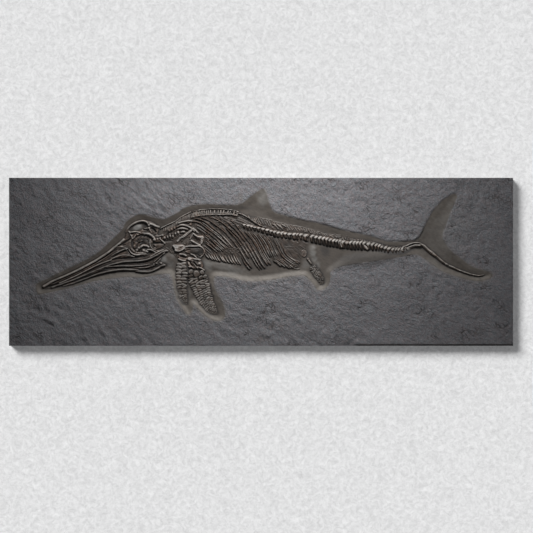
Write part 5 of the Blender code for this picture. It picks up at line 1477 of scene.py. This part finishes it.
def build_bones():
    """Every bone, as a table from CAD node to solid."""
    made = {"skull": skull(), "sclerotic_ring": eye_ring(), "lower_jaw": lower_jaw()}
    rib_cage(made)
    backbone(made)
    shoulder(made)
    made["far_fore_flipper"] = solid = Solid()
    flipper(solid, [(-227, -2), (-228, -20), (-228, -45), (-227, -65), (-223, -88)],
            [(-200, -2), (-199, -20), (-199, -45), (-200, -65), (-200, -88)], 2, 11, 3.3, 0.85, 7, 0.6, 0.9)
    flipper(solid, [(-223, -88), (-217, -100), (-208, -114)], [(-200, -88), (-198, -100), (-198, -116)],
            3, 6, 2.4, 0.8, 17, 0.0, 0.9)
    made["near_fore_flipper"] = solid = Solid()
    for centre, half in (((-173, -33), (8.5, 9.0)), ((-188, -27), (5.5, 6.5)), ((-158, -29), (6.0, 5.5)),
                         ((-189, -39), (4.5, 6.0)), ((-150, -40), (4.5, 6.0)), ((-161, -42), (4.5, 6.0))):
        pad(solid, centre, np.array([0.35, -0.94]), half, 5.6, round(-centre[0]))
    flipper(solid, [(-196, -45), (-190, -60), (-183, -77), (-173, -96)],
            [(-144, -42), (-139, -57), (-136, -75), (-131, -94)], 4, 9, 2.2, 0.8, 8, 1.0, 0.7)
    flipper(solid, [(-173, -96), (-163, -112), (-150, -127), (-138, -141)],
            [(-131, -94), (-126, -110), (-119, -126), (-117, -140)], 5, 10, 1.9, 0.7, 18, 0.55)
    made["hind_flipper"] = solid = Solid()
    flipper(solid, [(130, -15), (134, -26), (143, -39), (153, -51), (160, -62)],
            [(144, -8), (154, -20), (162, -33), (168, -45), (169, -59)], 4, 13, 2.8, 0.7, 9, 0.7, 1.2)
    made["hip_bone"] = carved(
        box=(100, 4, 128, 40), plates=[(oval((115, 23), (8, 10)), 1.8, 3.0, [])],
        ridges=[(1.8, 2.3, oval((115, 23), (6.5, 8.5)))], wear_and_painted_light_levels=[((115, 23), (9, 11), 0, 0.2)],
        grain=(60.0, 2.4, 0.9), step=0.8, seed=56)
    made["thigh_bone"] = solid = Solid()
    bone(solid, [(123, 11), (127, 6), (131, -1), (136, -8)], [4.2, 2.8, 3.6], [4.2, 4.6, 3.4], 230,
         rough=0.3, sunk=[0.0, 0.1, 0.4])
    return made


# The studio

def light(name, kind, place, target, energy, size):
    """A soft light at a place that looks at a target. size is an area's sides in metres, or a sun's angle."""
    data = bpy.data.lights.new(name, kind)
    data.energy = energy
    if kind == "AREA":
        data.shape = "RECTANGLE"
        data.size, data.size_y = size
    else:
        data.angle = size
    made = bpy.data.objects.new(name, data)
    aim = np.array(target, float) - np.array(place, float)
    made.rotation_mode = "QUATERNION"
    made.rotation_quaternion = Vector(aim).to_track_quat("-Z", "Y")
    made.location = place
    made.visible_camera = False
    bpy.context.scene.collection.objects.link(made)
    return made


def studio(pieces):
    """The pale floor, the lights and the camera, which looks straight down."""
    size = FLOOR_REACH
    mesh = bpy.data.meshes.new("floor")
    mesh.from_pydata([(-size, -size, 0), (size, -size, 0), (size, size, 0), (-size, size, 0)], [],
                     [(0, 1, 2, 3)])
    floor = bpy.data.objects.new("floor", mesh)
    bpy.context.scene.collection.objects.link(floor)
    look = Look("pale_floor")
    fibres = look.noise(95.0, 6.0, 0.72, look.warped(look.place, 34.0, 0.035))
    pale = look.mix(look.fit(fibres, 0.3, 0.7), (0.59, 0.59, 0.59), (0.86, 0.86, 0.86))
    mesh.materials.append(look.finish(pale, 0.9))

    key = light("key", "AREA", (0.04, 0.82, 0.60), (0.03, 0.0, 0.03), 8.5, (0.45, 0.25))
    key.data.spread = math.radians(115)
    fill = light("fill", "AREA", (0.4, -0.45, 1.4), (0.25, -0.15, 0.03), 2.0, (0.8, 0.6))
    sun = light("room", "SUN", (-2.3, 2.3, 2.6), (0.0, 0.0, 0.0), 3.85, 0.46)
    above = light("room_above", "SUN", (0.0, 0.0, 3.0), (0.0, 0.0, 0.0), 0.58, 0.1)
    on_slab = bpy.data.collections.new("lit_slab")
    for piece in pieces:
        on_slab.objects.link(piece)
    on_floor = bpy.data.collections.new("lit_floor")
    on_floor.objects.link(floor)
    for lamp, lit in ((key, on_slab), (fill, on_slab), (sun, on_floor), (above, on_floor)):
        lamp.light_linking.receiver_collection = lit

    world = bpy.data.worlds.new("room_light")
    world.use_nodes = True
    background = world.node_tree.nodes["Background"]
    background.inputs["Color"].default_value = (0.9, 0.93, 1.0, 1.0)
    background.inputs["Strength"].default_value = 0.09
    bpy.context.scene.world = world

    data = bpy.data.cameras.new("camera")
    data.sensor_width = SENSOR
    data.lens = SENSOR * (CAMERA_HEIGHT - FACE * MM) / VIEW_WIDTH
    data.clip_end = 50.0
    camera = bpy.data.objects.new("camera", data)
    camera.location = (*CAMERA_PLACE, CAMERA_HEIGHT)
    bpy.context.scene.collection.objects.link(camera)
    bpy.context.scene.camera = camera


def look_kind(node):
    """Which of the bone looks a node has."""
    if node in ("loin_spines", "hip_bone"):
        return "bed"
    if "flipper" in node:
        return "finger"
    if node.startswith("neck"):
        return "neck"
    if node == "lower_jaw":
        return "jaw"
    return "rib" if node.startswith("rib") else "bone"


def main():
    """Builds the part and the studio."""
    bones = build_bones()
    bed = crushed_bone()
    looks = {kind: bone_look(*values) for kind, values in BONE_LOOKS.items()}
    pieces = [slab(bones.values()), bed.piece(None, looks["bed"])]
    for node, solid in bones.items():
        pieces.append(solid.piece(node, looks[look_kind(node)]))
    studio(pieces)
    bpy.context.scene.view_settings.view_transform = "Standard"


main()
